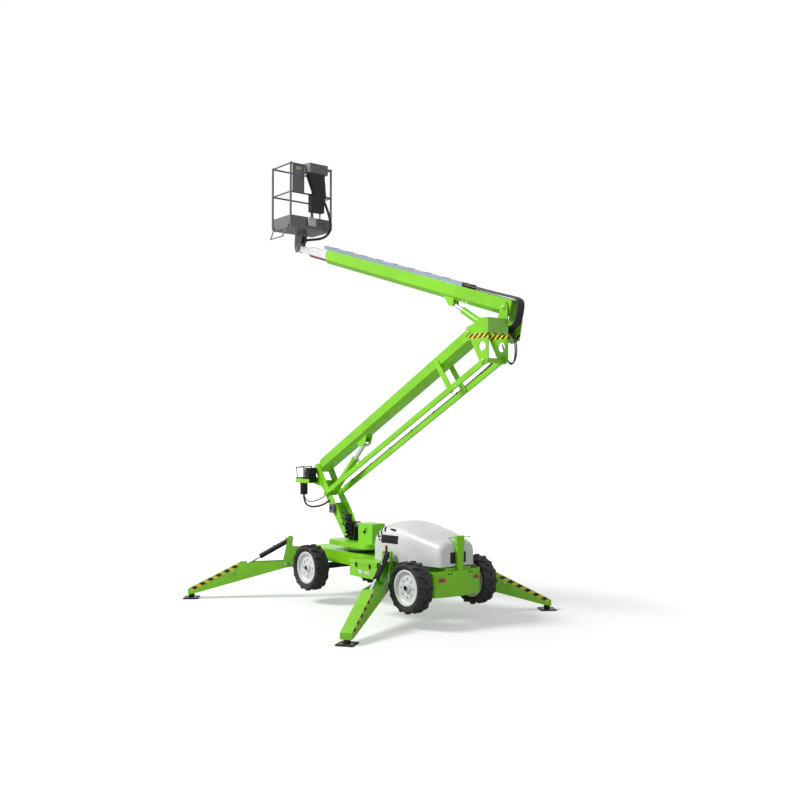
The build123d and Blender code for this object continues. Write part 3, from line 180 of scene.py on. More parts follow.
def dot(place, direction):
    """How far each point lies along a direction."""
    return place.node("ShaderNodeVectorMath", place, direction, operation="DOT_PRODUCT", out=1)


def noise(place, scale, detail=4.0, rough=0.55):
    """Cloudy noise from 0 to 1."""
    return place.node("ShaderNodeTexNoise", place, None, scale, detail, rough)


def stretch(place, x, y, z):
    """Scaled coordinates, for streaks and brushed metal."""
    return place.node("ShaderNodeMapping", place, None, None, (x, y, z))


def material(name, build, **constants):
    """A Principled material: build links the varying inputs, constants are set on the shader itself."""
    made = bpy.data.materials.new(name)
    made.use_nodes = True
    tree = made.node_tree
    shader = tree.nodes["Principled BSDF"]
    for key, value in constants.items():
        shader.inputs[key.replace("_", " ")].default_value = value
    coords = tree.nodes.new("ShaderNodeTexCoord")
    facing = tree.nodes.new("ShaderNodeNewGeometry")
    linked = build(Wire(tree, coords.outputs["Object"]), Wire(tree, facing.outputs["Normal"]))
    for key, wire in linked.items():
        tree.links.new(wire.socket, shader.inputs[key.replace("_", " ")])
    return made


def bump(height, strength, distance=0.002):
    """Normal from a height wire."""
    return height.node("ShaderNodeBump", strength, distance, None, height)


print("shader helpers ready")

# %% [markdown]
# Paint on a working machine isn't even: it has a faint mottle, dust that settles on upward faces, grime near
# the ground and a fine orange-peel surface. A picture could be wrapped round each part, but a finish worked
# out from the place on the object needs no unwrapping and stays sharp close up. One builder makes all the
# painted finishes.

# %% Painted finishes
GREEN = (0.235, 0.66, 0.012, 1)
WHITE = (0.71, 0.72, 0.72, 1)
BLACK = (0.012, 0.012, 0.013, 1)
GREY = (0.155, 0.158, 0.162, 1)
DUST = (0.33, 0.30, 0.25, 1)
YELLOW = (0.80, 0.66, 0.018, 1)


def worn(place, normal, colour, dust=0.10, grime=0.25):
    """Colour and roughness of weathered paint over a base colour or colour wire."""
    z, up = split(place)[2], split(normal)[2]
    cloud = noise(place, 2.2, 5.0)
    fine = noise(place, 38.0, 3.0)
    shade = cloud.ramp(0.3, 0.7, 0.90, 1.06) * fine.ramp(0.2, 0.8, 0.965, 1.03)
    base = place.node("ShaderNodeVectorMath", colour, (1, 1, 1), operation="MULTIPLY")
    base.tree.links.new(shade.socket, base.socket.node.inputs[1])
    settled = up.ramp(0.35, 1.0) * noise(place, 2.6, 5.0).ramp(0.35, 0.8) * dust
    splashed = z.ramp(1.0, 0.15) * noise(place, 11.0, 6.0).ramp(0.45, 0.8) * grime
    dirt = settled + splashed
    rough = 0.26 + cloud * 0.10 + fine * 0.06 + dirt * 0.8
    return dirt.blend(base, DUST), rough


def painted(name, colour, dust=0.10, grime=0.25, peel=0.05, **constants):
    """A painted finish of one colour."""

    def build(place, normal):
        tint, rough = worn(place, normal, colour[:3], dust, grime)
        relief = noise(place, 260.0, 2.0)
        return {"Base_Color": tint, "Roughness": rough, "Normal": bump(relief, peel)}

    return material(name, build, **constants)


GREEN_COAT = {"Coat_Weight": 0.15, "Coat_Roughness": 0.12, "Specular_IOR_Level": 0.4}
lift_green = painted("lift_green", GREEN, 0.05, 0.2, **GREEN_COAT)
gloss_white = painted("gloss_white", WHITE, 0.08, 0.12, Coat_Weight=0.4, Coat_Roughness=0.1)
black_paint = painted("black_paint", BLACK, 0.08, 0.3, 0.12, Specular_IOR_Level=0.22)
basket_grey = painted("basket_grey", GREY, 0.12, 0.1, 0.22, Specular_IOR_Level=0.35)
print("painted finishes", lift_green.name, gloss_white.name, basket_grey.name)

# %% [markdown]
# A band along the top edge of each leg, and one round the knuckle, carry black and yellow hazard stripes. On
# a real machine they are usually tape. They could be thin strips of mesh, but tape has no thickness to see,
# so they are painted by the material: each point's distance along the leg and below its top edge says which
# colour it gets.


# %% Hazard stripes
def striped(name, along, reach, top_line, band, pitch):
    """Green paint with slanted stripes in a band below a straight top line, measured along a direction."""

    def build(place, normal):
        start, length = reach
        height, fall = top_line
        z, up = split(place)[2], split(normal)[2]
        far = dot(place, along) - start
        below = (height - far * fall) - z
        dark = ((far + below) / pitch).fract() > 0.5
        inside = (below < band) * (below > -0.02) * (far > 0.0) * (far < length) * (up < 0.3)
        stripes = dark.blend(YELLOW, BLACK)
        tint, rough = worn(place, normal, inside.blend(GREEN, stripes), 0.10, 0.3)
        return {"Base_Color": tint, "Roughness": rough, "Normal": bump(noise(place, 260.0, 2.0), 0.05)}

    return material(name, build, Coat_Weight=0.15, Coat_Roughness=0.15, Specular_IOR_Level=0.4)


KNEE, KNEE_Z, LEG_FALL, TAPE_LENGTH = 0.80, 0.604, 0.5105, 0.80
LEG_TAPE, LEG_PITCH = 0.07, 0.135
leg_paint = {}
for end, side in CORNERS:
    hinge, out = leg_axes(end, side)
    reach = (hinge.dot(out) + KNEE, TAPE_LENGTH)
    name = f"leg_stripes_{end}_{side}"
    leg_paint[end, side] = striped(name, out[:], reach, (KNEE_Z, LEG_FALL), LEG_TAPE, LEG_PITCH)
knuckle_paint = striped("knuckle_stripes", (0.6, 0.8, 0.0), (-9.0, 20.0), (4.205, 0.0), 0.05, 0.085)
print("striped legs", len(leg_paint))

# %% [markdown]
# A tyre is dusty towards the tread and faintly ribbed on its wall, and its white disc has a black hub. Rings
# and ribs could be modelled, but they are shallower than a millimetre, so they are drawn by the material from
# each point's distance to the wheel's axle.


# %% Wheel finishes
def from_axle(place, centre):
    """Distance from a wheel's axle."""
    _, y, z = split(place)
    across, high = y - centre[1], z - centre[2]
    return (across * across + high * high) ** 0.5


def tyre_rubber(name, centre):
    """Black rubber with dust on the tread and rings on the wall, about a wheel's centre."""

    def build(place, normal):
        away = from_axle(place, centre)
        cloud = noise(place, 14.0, 6.0)
        dusty = away.ramp(0.27, 0.385) * cloud.ramp(0.4, 0.75) * 0.2
        rings = (away * 140.0).fract().ramp(0.35, 0.65) * away.ramp(0.33, 0.31)
        tint = dusty.blend((0.014, 0.014, 0.015, 1), (0.16, 0.145, 0.12, 1))
        rough = 0.58 + cloud * 0.25
        return {"Base_Color": tint, "Roughness": rough, "Normal": bump(rings * 0.4 + cloud * 0.3, 0.25, 0.003)}

    return material(name, build)


def rim_paint(name, centre):
    """White disc with a black hub."""

    def build(place, normal):
        away = from_axle(place, centre)
        tint, rough = worn(place, normal, WHITE[:3], 0.05, 0.35)
        hub = away.ramp(0.048, 0.045)
        return {"Base_Color": hub.blend(tint, (0.02, 0.02, 0.022, 1)), "Roughness": rough}

    return material(name, build, Coat_Weight=0.2, Coat_Roughness=0.2)


print("wheel finishes ready")

# %% [markdown]
# Bare metal shows its grain in its polish alone: chrome is smooth, zinc is mottled, and the aluminium of the
# hose track is brushed along its length. Hose rubber has a fine wrapped grain. The inner boom is white with a
# red-brown wear strip, which is found by its height above the boom's own axis, because the boom slopes.


# %% Metals, hose and inner boom
def metal(name, colour, low, high, squeeze=(1, 1, 1), scale=60.0, **constants):
    """Bare metal with a brushed or mottled polish."""

    def build(place, normal):
        grain = noise(stretch(place, *squeeze), scale, 4.0)
        return {"Roughness": grain.ramp(0.25, 0.75, low, high)}

    return material(name, build, Base_Color=colour, Metallic=1.0, **constants)


chrome = metal("chrome", (0.78, 0.79, 0.8, 1), 0.05, 0.16)
aluminium = metal("aluminium", (0.34, 0.39, 0.46, 1), 0.28, 0.45, (40, 1, 1))
zinc = metal("zinc", (0.55, 0.55, 0.54, 1), 0.25, 0.5)


def hose_rubber(place, normal):
    """Black hose with a slight sheen and a wrapped grain."""
    grain = noise(place, 420.0, 2.0)
    tint = grain.ramp(0.3, 0.8).blend((0.010, 0.010, 0.011, 1), (0.030, 0.030, 0.032, 1))
    return {"Base_Color": tint, "Roughness": 0.42 + grain * 0.2, "Normal": bump(grain, 0.2)}


def inner_paint(place, normal):
    """White boom with a red-brown wear strip along its lower edge."""
    tint, rough = worn(place, normal, WHITE[:3], 0.05, 0.0)
    low_edge = (dot(place, UP_UPPER[:]) - UPPER_FOOT.dot(UP_UPPER)) < -0.052
    return {"Base_Color": low_edge.blend(tint, (0.22, 0.035, 0.02, 1)), "Roughness": rough}


hose = material("hose_rubber", hose_rubber)
inner_white = material("inner_white", inner_paint, Coat_Weight=0.3)
print("metals and hose", hose.name, chrome.name)

# %% [markdown]
# The CAD nodes keep their own meshes and only get a finish. Most of the machine is green, so the table lists
# what isn't, and whatever it leaves out is painted green. Each wheel has a rubber and a rim paint of its own,
# because those patterns are drawn about that wheel's axle.


# %% Materials on the CAD nodes
WHEEL_X, WHEEL_Z = 0.639, 0.588
WHEEL_Y = {"front": -0.925, "rear": 1.665}


def wheel_centre(end, side):
    """Middle of one wheel."""
    return (WHEEL_X if side == "left" else -WHEEL_X, WHEEL_Y[end], WHEEL_Z)


finish_of = {
    "engine_hood": gloss_white, "engine_block": black_paint,
    "axles": black_paint, "slew_ring": black_paint, "hydraulic_controls": black_paint,
    "lower_cylinder_rod": chrome, "upper_cylinder_rod": chrome, "hose_track": aluminium,
    "inner_boom": inner_white, "basket_bracket": basket_grey, "basket_floor": basket_grey,
    "basket_frame": basket_grey, "basket_console": basket_grey, "basket_cabinet": black_paint,
    "control_guard": black_paint, "boom_knuckle": knuckle_paint,
    "steering_knuckle_left": black_paint, "steering_knuckle_right": black_paint,
}
for end, side in CORNERS:
    corner = f"{end}_{side}"
    centre = wheel_centre(end, side)
    finish_of[f"tyre_{corner}"] = tyre_rubber(f"tyre_{corner}", centre)
    finish_of[f"rim_{corner}"] = rim_paint(f"rim_{corner}", centre)
    finish_of[f"leg_{corner}"] = leg_paint[end, side]
    finish_of[f"foot_{corner}"] = black_paint
    finish_of[f"leg_{corner}_rod"] = chrome
    finish_of[f"leg_{corner}_barrel"] = black_paint
for name, node in nodes.items():
    node.data.materials.clear()
    node.data.materials.append(finish_of.get(name, lift_green))
print("finishes set on", len(nodes), "nodes")

# %% [markdown]
# Small shapes are built with bmesh, Blender's mesh editor for scripts. Operators could make them too, but
# they depend on what is selected. `shaped` runs a building function, rounds the sharp edges and turns the
# faces outwards. `piece` makes the finished mesh an object at the origin and tells the frame which body it
# rides on.


# %% Shapes and pieces
def aim(start, end):
    """Matrix that stands a shape's Z axis on the line from start to end, at start."""
    start, end = Vector(start), Vector(end)
    return Matrix.Translation(start) @ (end - start).to_track_quat("Z", "Y").to_matrix().to_4x4()


def shaped(build, bevel=0.0, edges=2):
    """Plain mesh made by a bmesh function, with its sharp edges bevelled."""
    work = bmesh.new()
    build(work)
    if bevel:
        sharp = [e for e in work.edges if e.is_manifold and e.calc_face_angle() > 0.6]
        bmesh.ops.bevel(work, geom=sharp, offset=bevel, segments=edges, affect="EDGES", profile=0.5)
    bmesh.ops.recalc_face_normals(work, faces=work.faces)
    mesh = bpy.data.meshes.new("shape")
    work.to_mesh(mesh)
    work.free()
    return mesh


def block_mesh(size, bevel):
    """Box about the origin with rounded edges."""

    def build(work):
        bmesh.ops.create_cube(work, size=1.0, matrix=Matrix.Diagonal((*size, 1)))

    return shaped(build, bevel)


def hose_mesh(points, radius):
    """Tube mesh along a NURBS spline through control points."""
    data = bpy.data.curves.new("route", "CURVE")
    data.dimensions, data.bevel_depth, data.bevel_resolution = "3D", radius, 3
    data.resolution_u, data.use_fill_caps = 8, True
    spline = data.splines.new("NURBS")
    spline.points.add(len(points) - 1)
    for knot, place in zip(spline.points, points):
        knot.co = (*place, 1)
    spline.order_u, spline.use_endpoint_u = min(4, len(points)), True
    route = bpy.data.objects.new("route", data)
    mesh = bpy.data.meshes.new_from_object(route)
    bpy.data.objects.remove(route)
    return mesh


def piece(name, mesh, finish, body, slot, *hidden):
    """An object from a finished mesh, smooth but for its sharp edges, that rides on a body."""
    mesh.polygons.foreach_set("use_smooth", [True] * len(mesh.polygons))
    mesh.set_sharp_from_angle(angle=radians(32))
    mesh.materials.clear()
    mesh.materials.append(finish)
    made = bpy.data.objects.new(name, mesh)
    scene.collection.objects.link(made)
    if body:
        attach(made, body)
    if hidden:
        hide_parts(*hidden)
    return made


print("shapes ready")

# %% [markdown]
# A machine like this has hundreds of small parts: pins, bolts, fittings, levers and hoses. Each could be an
# object of its own, but then each would need its own finish and its own body to ride on. A `Kit` gathers the
# shapes of one finish on one body into one mesh instead, so that they move as one piece.


# %% Kits of small parts
class Kit:
    """Shapes of one finish on one body, gathered into one piece."""

    def __init__(self, name, body, finish, slot):
        self.name, self.body, self.finish, self.slot = name, body, finish, slot
        self.work = bmesh.new()

    def take(self, mesh, place=None):
        """Add a plain mesh, moved by a matrix."""
        if place is not None:
            mesh.transform(place)
        self.work.from_mesh(mesh)
        bpy.data.meshes.remove(mesh)

    def bar(self, start, end, radius, tip=None, sides=20, bevel=0.0):
        """Round bar or cone between two points."""
        span = (Vector(end) - Vector(start)).length
        tip = radius if tip is None else tip

        def build(work):
            bmesh.ops.create_cone(work, cap_ends=True, segments=sides, radius1=radius, radius2=tip, depth=span)

        self.take(shaped(build, bevel), aim(start, end) @ Matrix.Translation((0, 0, span / 2)))

    def block(self, centre, size, turn=None, bevel=0.004):
        """Box with rounded edges, turned by a matrix."""
        place = Matrix.Translation(Vector(centre)) @ (turn.to_4x4() if turn else Matrix())
        self.take(block_mesh(size, min(bevel, 0.45 * min(size))), place)

    def hose(self, points, radius):
        """Smooth round hose along a NURBS route."""
        self.take(hose_mesh(points, radius))

    def done(self, *hidden):
        mesh = bpy.data.meshes.new(self.name)
        self.work.to_mesh(mesh)
        self.work.free()
        return piece(self.name, mesh, self.finish, self.body, self.slot, *hidden)


print("kits ready")

# %% [markdown]
# Bolts, tyre lugs, levers and tread marks repeat. A Python loop could copy each one, but a Geometry Nodes
# tree says the rule once, with the count and the spacing as named inputs. Three small trees set a shape in a
# ring, a row or a grid. The result is made real and turned into a plain mesh, because an export drops
# instances.


# %% Repeats by Geometry Nodes
REPEAT_NODES = {
    "in": "NodeGroupInput", "out": "NodeGroupOutput", "on": "GeometryNodeInstanceOnPoints",
    "real": "GeometryNodeRealizeInstances", "set": "GeometryNodeSetMaterial",
}


def repeat_tree(kind, inputs):
    """Node group that sets the object's own mesh on a ring, row or grid of points."""
    tree = bpy.data.node_groups.new(f"repeat_{kind}", "GeometryNodeTree")
    tree.interface.new_socket("Geometry", in_out="INPUT", socket_type="NodeSocketGeometry")
    for label, socket in inputs:
        tree.interface.new_socket(label, in_out="INPUT", socket_type=f"NodeSocket{socket}")
    tree.interface.new_socket("Material", in_out="INPUT", socket_type="NodeSocketMaterial")
    tree.interface.new_socket("Geometry", in_out="OUTPUT", socket_type="NodeSocketGeometry")
    made = {label: tree.nodes.new(node) for label, node in REPEAT_NODES.items()}
    link = tree.links.new
    link(made["in"].outputs["Geometry"], made["on"].inputs["Instance"])
    link(made["on"].outputs[0], made["real"].inputs[0])
    link(made["real"].outputs[0], made["set"].inputs["Geometry"])
    link(made["in"].outputs["Material"], made["set"].inputs["Material"])
    link(made["set"].outputs[0], made["out"].inputs[0])
    return tree, made


print("repeat nodes", len(REPEAT_NODES))

# %% [markdown]
# The three trees differ only in where their points come from: a circle, a line or a grid. In the ring, each
# copy is also turned by its share of the full circle, so that it faces outwards as a lug or a nut does.

# %% Ring, row and grid
ring_tree, parts = repeat_tree("ring", [("Count", "Int"), ("Radius", "Float")])
circle = ring_tree.nodes.new("GeometryNodeMeshCircle")
order = ring_tree.nodes.new("GeometryNodeInputIndex")
share = ring_tree.nodes.new("ShaderNodeMath")
share.operation = "DIVIDE"
angle = ring_tree.nodes.new("ShaderNodeMath")
angle.operation = "MULTIPLY"
angle.inputs[1].default_value = 2 * pi
turned = ring_tree.nodes.new("ShaderNodeCombineXYZ")
ring_tree.links.new(parts["in"].outputs["Count"], circle.inputs["Vertices"])
ring_tree.links.new(parts["in"].outputs["Radius"], circle.inputs["Radius"])
ring_tree.links.new(circle.outputs[0], parts["on"].inputs["Points"])
ring_tree.links.new(order.outputs[0], share.inputs[0])
ring_tree.links.new(parts["in"].outputs["Count"], share.inputs[1])
ring_tree.links.new(share.outputs[0], angle.inputs[0])
ring_tree.links.new(angle.outputs[0], turned.inputs["Z"])
ring_tree.links.new(turned.outputs[0], parts["on"].inputs["Rotation"])

row_tree, parts = repeat_tree("row", [("Count", "Int"), ("Step", "Vector")])
line = row_tree.nodes.new("GeometryNodeMeshLine")
row_tree.links.new(parts["in"].outputs["Count"], line.inputs["Count"])
row_tree.links.new(parts["in"].outputs["Step"], line.inputs["Offset"])
row_tree.links.new(line.outputs[0], parts["on"].inputs["Points"])

GRID_INPUTS = [("Width", "Float"), ("Length", "Float"), ("Across", "Int"), ("Along", "Int")]
GRID_SOCKETS = {"Width": "Size X", "Length": "Size Y", "Across": "Vertices X", "Along": "Vertices Y"}
grid_tree, parts = repeat_tree("grid", GRID_INPUTS)
field = grid_tree.nodes.new("GeometryNodeMeshGrid")
for label, socket in GRID_SOCKETS.items():
    grid_tree.links.new(parts["in"].outputs[label], field.inputs[socket])
grid_tree.links.new(field.outputs[0], parts["on"].inputs["Points"])


print("repeat trees", ring_tree.name, row_tree.name, grid_tree.name)

# %% [markdown]
# A tree runs as a modifier on an object that holds the single shape. Its inputs are set by their identifiers,
# not by their names, before the object is first evaluated. The result is copied to a plain mesh, and the
# helper object goes.


# %% Running a repeat
def repeated(tree, mesh, finish, **values):
    """Plain mesh of one shape repeated by a tree."""
    single = bpy.data.objects.new("single", mesh)
    scene.collection.objects.link(single)
    modifier = single.modifiers.new("repeat", "NODES")
    modifier.node_group = tree
    values["Material"] = finish
    for item in tree.interface.items_tree:
        if item.in_out == "INPUT" and item.name in values:
            modifier[item.identifier] = values[item.name]
    graph = bpy.context.evaluated_depsgraph_get()
    graph.update()
    result = bpy.data.meshes.new_from_object(single.evaluated_get(graph))
    single.modifiers.remove(modifier)
    bpy.data.objects.remove(single)
    bpy.data.meshes.remove(mesh)
    return result


print("repeats ready")

# %% [markdown]
# A bolt is a hexagon head on a washer, the same everywhere but for its size. It is modelled once with few
# faces, because the machine shows many of them, and the trees set it in rings and rows.


# %% Bolts
def bolt_mesh(size):
    """Hexagon bolt head on a washer, standing on Z."""

    def build(work):
        bmesh.ops.create_cone(work, cap_ends=True, segments=20, radius1=1.25 * size, radius2=1.25 * size,
                              depth=0.3 * size, matrix=Matrix.Translation((0, 0, 0.15 * size)))
        bmesh.ops.create_cone(work, cap_ends=True, segments=6, radius1=size, radius2=0.94 * size,
                              depth=0.8 * size, matrix=Matrix.Translation((0, 0, 0.7 * size)))

    return shaped(build)


def bolt_ring(kit, centre, towards, radius, count, size):
    """Ring of bolts that faces a direction."""
    ring = repeated(ring_tree, bolt_mesh(size), kit.finish, Count=count, Radius=radius)
    kit.take(ring, aim(centre, Vector(centre) + Vector(towards)))


def bolt_row(kit, start, step, count, towards, size):
    """Row of bolts that face a direction."""
    turn = Vector(towards).to_track_quat("Z", "Y").to_matrix()
    local = turn.inverted() @ Vector(step)
    row = repeated(row_tree, bolt_mesh(size), kit.finish, Count=count, Step=local)
    kit.take(row, Matrix.Translation(Vector(start)) @ turn.to_4x4())


print("bolts ready")

# %% [markdown]
# Tyres, rims and hub caps are round, so each is drawn as half a section and turned about its axle, as on a
# lathe. The Screw modifier could do it too, but a loop of points joined ring by ring also closes the mesh.
# The tread's lug is the one shape that isn't turned: a slanted bar that starts at the middle of the tread and
# bends over its shoulder.


# %% Turned shapes and the tread lug
def lathe(profile, sides=72):
    """Closed turned mesh about Z from a loop of (radius, height) points."""

    def build(work):
        rings = []
        for n in range(sides):
            a = 2 * pi * n / sides
            rings.append([work.verts.new((r * cos(a), r * sin(a), z)) for r, z in profile])
        count = len(profile)
        for n in range(sides):
            here, there = rings[n], rings[(n + 1) % sides]
            for k in range(count):
                nxt = (k + 1) % count
                if profile[k][0] or profile[nxt][0]:
                    work.faces.new((here[k], here[nxt], there[nxt], there[k]))
        bmesh.ops.remove_doubles(work, verts=work.verts, dist=1e-5)

    return shaped(build)


def lug_mesh(half):
    """One tread lug: radial along X, tangential along Y, axial along Z on one half of the tread."""
    outline = [(0.006, -0.021, 0.376), (0.006, 0.021, 0.376), (0.07, 0.044, 0.376), (0.112, 0.060, 0.372),
               (0.130, 0.066, 0.352), (0.130, 0.026, 0.352), (0.112, 0.018, 0.372), (0.07, 0.002, 0.376)]

    def build(work):
        top = [work.verts.new(((r**2 - y**2) ** 0.5, y, half * z)) for z, y, r in outline]
        foot = [work.verts.new((0.336, 1.12 * y, half * min(z, 0.126))) for z, y, r in outline]
        for k in range(8):
            work.faces.new((top[k], top[(k + 1) % 8], foot[(k + 1) % 8], foot[k]))
        for loop in ((0, 1, 2, 7), (7, 2, 3, 6), (6, 3, 4, 5)):
            work.faces.new([top[k] for k in loop])
        work.faces.new(foot)

    return shaped(build, 0.004, 2)


print("lathe and lug ready")

# %% [markdown]
# Each wheel is a smooth tyre with lugs, a white disc with a ring of nuts, and a hub cap with a black plug.
# The ring tree sets fifteen lugs on each half of the tread, half a pitch apart. The turned tyre and disc
# replace the CAD's plainer ones and ride on the same wheel, so that they spin with it.

# %% Tyres and rims
LUGS = 15
TYRE_WALL = [(0.2415, 0.0885), (0.268, 0.0885), (0.276, 0.104), (0.290, 0.119), (0.306, 0.128), (0.324, 0.1315),
             (0.338, 0.128), (0.348, 0.116), (0.352, 0.09), (0.3535, 0.0)]
RIM = [(0.228, -0.1), (0.258, -0.1), (0.262, -0.097), (0.262, -0.0905), (0.2395, -0.0885), (0.2395, 0.0885),
       (0.262, 0.0905), (0.262, 0.097), (0.258, 0.1), (0.236, 0.1), (0.229, 0.096), (0.226, 0.086),
       (0.214, 0.064), (0.203, 0.0575), (0.165, 0.057), (0.158, 0.061), (0.112, 0.061), (0.106, 0.057),
       (0.082, 0.057), (0.082, 0.068), (0.074, 0.078), (0.041, 0.078), (0.041, -0.036), (0.082, -0.036),
       (0.082, 0.045), (0.222, 0.045), (0.228, 0.038)]
HUB_CAP = [(0.0, 0.0775), (0.068, 0.0775), (0.066, 0.084), (0.046, 0.089), (0.044, 0.097), (0.0, 0.099)]
HUB_PLUG = [(0.0, 0.0985), (0.034, 0.0985), (0.032, 0.106), (0.0, 0.107)]
wheel_loop = TYRE_WALL + [(r, -x) for r, x in reversed(TYRE_WALL[:-1])]
SPIN_TO_X = Matrix.Rotation(pi / 2, 4, "Y")
for end, side in CORNERS:
    corner = f"{end}_{side}"
    hub = Matrix.Translation(wheel_centre(end, side)) @ SPIN_TO_X
    rubber = Kit(f"lugged_tyre_{corner}", f"wheel_{corner}", finish_of[f"tyre_{corner}"], "rubber")
    rubber.take(lathe(wheel_loop), hub)
    for half in (1, -1):
        lugs = repeated(ring_tree, lug_mesh(half), rubber.finish, Count=LUGS, Radius=0.0)
        rubber.take(lugs, hub @ Matrix.Rotation((1 - half) / 2 * pi / LUGS, 4, "Z"))
    rubber.done(f"tyre_{corner}")
    face = hub @ Matrix.Rotation(0 if side == "left" else pi, 4, "X")
    disc = Kit(f"wheel_disc_{corner}", f"wheel_{corner}", finish_of[f"rim_{corner}"], "cover_white")
    disc.take(lathe(RIM), face.copy())
    disc.done(f"rim_{corner}")
    nuts = Kit(f"wheel_nuts_{corner}", f"wheel_{corner}", zinc, "chrome")
    nut_ring = repeated(ring_tree, bolt_mesh(0.011), zinc, Count=8, Radius=0.135)
    nuts.take(nut_ring, face @ Matrix.Translation((0, 0, 0.0605)))
    nuts.done()
    dome = Kit(f"hub_cap_{corner}", f"wheel_{corner}", gloss_white, "cover_white")
    dome.take(lathe(HUB_CAP, 40), face.copy())
    dome.done()
    plug = Kit(f"hub_plug_{corner}", f"wheel_{corner}", black_paint, "black_paint")
    plug.take(lathe(HUB_PLUG, 32), face.copy())
    screw_ring = repeated(ring_tree, bolt_mesh(0.005), black_paint, Count=6, Radius=0.056)
    plug.take(screw_ring, face @ Matrix.Translation((0, 0, 0.084)))
    plug.done()
print("wheels dressed", len(CORNERS))

# %% [markdown]
# The hood is a moulded shell with soft, swelling sides. It could be sculpted, or subdivided from a box, but
# its section changes by a rule: a width and a height along its length, and one arch. So it is a grid of
# arches, and a smooth curve through a few measured points gives each arch its size.


# %% Curves of the hood
def smooth(points, x):
    """Smooth curve through (x, value) points, straight on past its ends."""
    last = len(points) - 2
    k = max(i for i in range(last + 1) if i == 0 or points[i][0] <= x)

    def slope(i):
        a, b = points[max(i - 1, 0)], points[min(i + 1, last + 1)]
        return (b[1] - a[1]) / (b[0] - a[0])

    (x0, v0), (x1, v1) = points[k], points[k + 1]
    step = x1 - x0
    t = (x - x0) / step
    rise = v0 * (1 + 2 * t) * (1 - t) ** 2 + v1 * t * t * (3 - 2 * t)
    return rise + step * t * (1 - t) * (slope(k) * (1 - t) - slope(k + 1) * t)


HOOD_LOW, HOOD_FRONT, HOOD_LENGTH = 0.876, 0.595, 1.385
HOOD_HALF = [(0, 0.485), (0.06, 0.492), (0.16, 0.490), (0.35, 0.456), (0.6, 0.430), (0.8, 0.393), (1, 0.33)]
HOOD_TOP = [(0, 1.29), (0.06, 1.379), (0.16, 1.452), (0.35, 1.4407), (0.6, 1.3794), (0.8, 1.309), (1, 1.225)]
ARCH = [(1, 0), (1, 0.28), (1, 0.56), (0.965, 0.73), (0.87, 0.86), (0.69, 0.945), (0.42, 0.985), (0.14, 1)]
ARCH = ARCH + [(-x, h) for x, h in reversed(ARCH)]
ARCH_X = [(k, p[0]) for k, p in enumerate(ARCH)]
ARCH_H = [(k, p[1]) for k, p in enumerate(ARCH)]
SIDE_OF = [(h, x) for x, h in ARCH[:6]]


def hood_row(share, inset, y):
    """One arch of the hood, drawn in by an inset."""
    half, top = smooth(HOOD_HALF, share) - inset, smooth(HOOD_TOP, share) - inset
    steps = [k / 5 for k in range(5 * (len(ARCH) - 1) + 1)]
    return [(smooth(ARCH_X, k) * half, y, HOOD_LOW + smooth(ARCH_H, k) * (top - HOOD_LOW)) for k in steps]


print("hood sections", len(HOOD_HALF))

# %% [markdown]
# The arches are joined into a closed shell with rounded ends. Solidify gives the moulding its wall, and a
# Boolean cuts the air slots through its front shoulders, because a slot that is only painted on shows no
# depth. Both modifiers are applied at once, and the plain mesh replaces the CAD's hood.


# %% Engine hood
def hood_shell(work):
    """Grid of arches from nose to tail, rounded into a closed front and back."""
    rows = []
    for k in range(5):
        a = k / 5 * pi / 2
        rows.append(hood_row(0, 0.035 * (1 - sin(a)), HOOD_FRONT + 0.035 * (1 - cos(a))))
    for k in range(49):
        share = 0.025 + 0.945 * k / 48
        rows.append(hood_row(share, 0, HOOD_FRONT + share * HOOD_LENGTH))
    for k in range(1, 6):
        a = k / 5 * pi / 2
        rows.append(hood_row(1, 0.05 * (1 - cos(a)), HOOD_FRONT + HOOD_LENGTH - 0.04 * (1 - sin(a))))
    grid = [[work.verts.new(p) for p in row] for row in rows]
    for here, there in zip(grid, grid[1:]):
        for k in range(len(here) - 1):
            work.faces.new((here[k], here[k + 1], there[k + 1], there[k]))
    work.faces.new(grid[0])
    work.faces.new(grid[-1])


slots = Kit("slot_cutter", None, gloss_white, "cover_white")
for out in (1, -1):
    for step in range(3):
        place = (out * 0.44, HOOD_FRONT + 0.10 + 0.0655 * step, 1.25 + 0.0487 * step)
        slots.block(place, (0.18, 0.042, 0.09), Matrix.Rotation(radians(35), 3, "X"), 0.008)
cutter = slots.done()
hood = piece("moulded_hood", shaped(hood_shell), gloss_white, None, "cover_white")
wall = hood.modifiers.new("wall", "SOLIDIFY")
wall.thickness, wall.offset = 0.010, -1
cut = hood.modifiers.new("slots", "BOOLEAN")
cut.object, cut.operation, cut.solver = cutter, "DIFFERENCE", "EXACT"
graph = bpy.context.evaluated_depsgraph_get()
graph.update()
shell = bpy.data.meshes.new_from_object(hood.evaluated_get(graph))
bpy.data.objects.remove(hood)
bpy.data.objects.remove(cutter)
piece("moulded_hood", shell, gloss_white, "chassis", "cover_white", "engine_hood")
print("hood faces", len(shell.polygons))

# %% [markdown]
# The hood carries a black control panel, an isolator switch and a handle on its left flank. A flat plate
# would stand off the curve, so the panel is a thin patch whose points are taken from the flank itself, and it
# lies flush.


# %% Hood fittings
def hood_side(y, z, side, lift=0.0):
    """Point on the hood's flank."""
    share = (y - HOOD_FRONT) / HOOD_LENGTH
    high = (z - HOOD_LOW) / (smooth(HOOD_TOP, share) - HOOD_LOW)
    return Vector((side * (smooth(SIDE_OF, high) * smooth(HOOD_HALF, share) + lift), y, z))


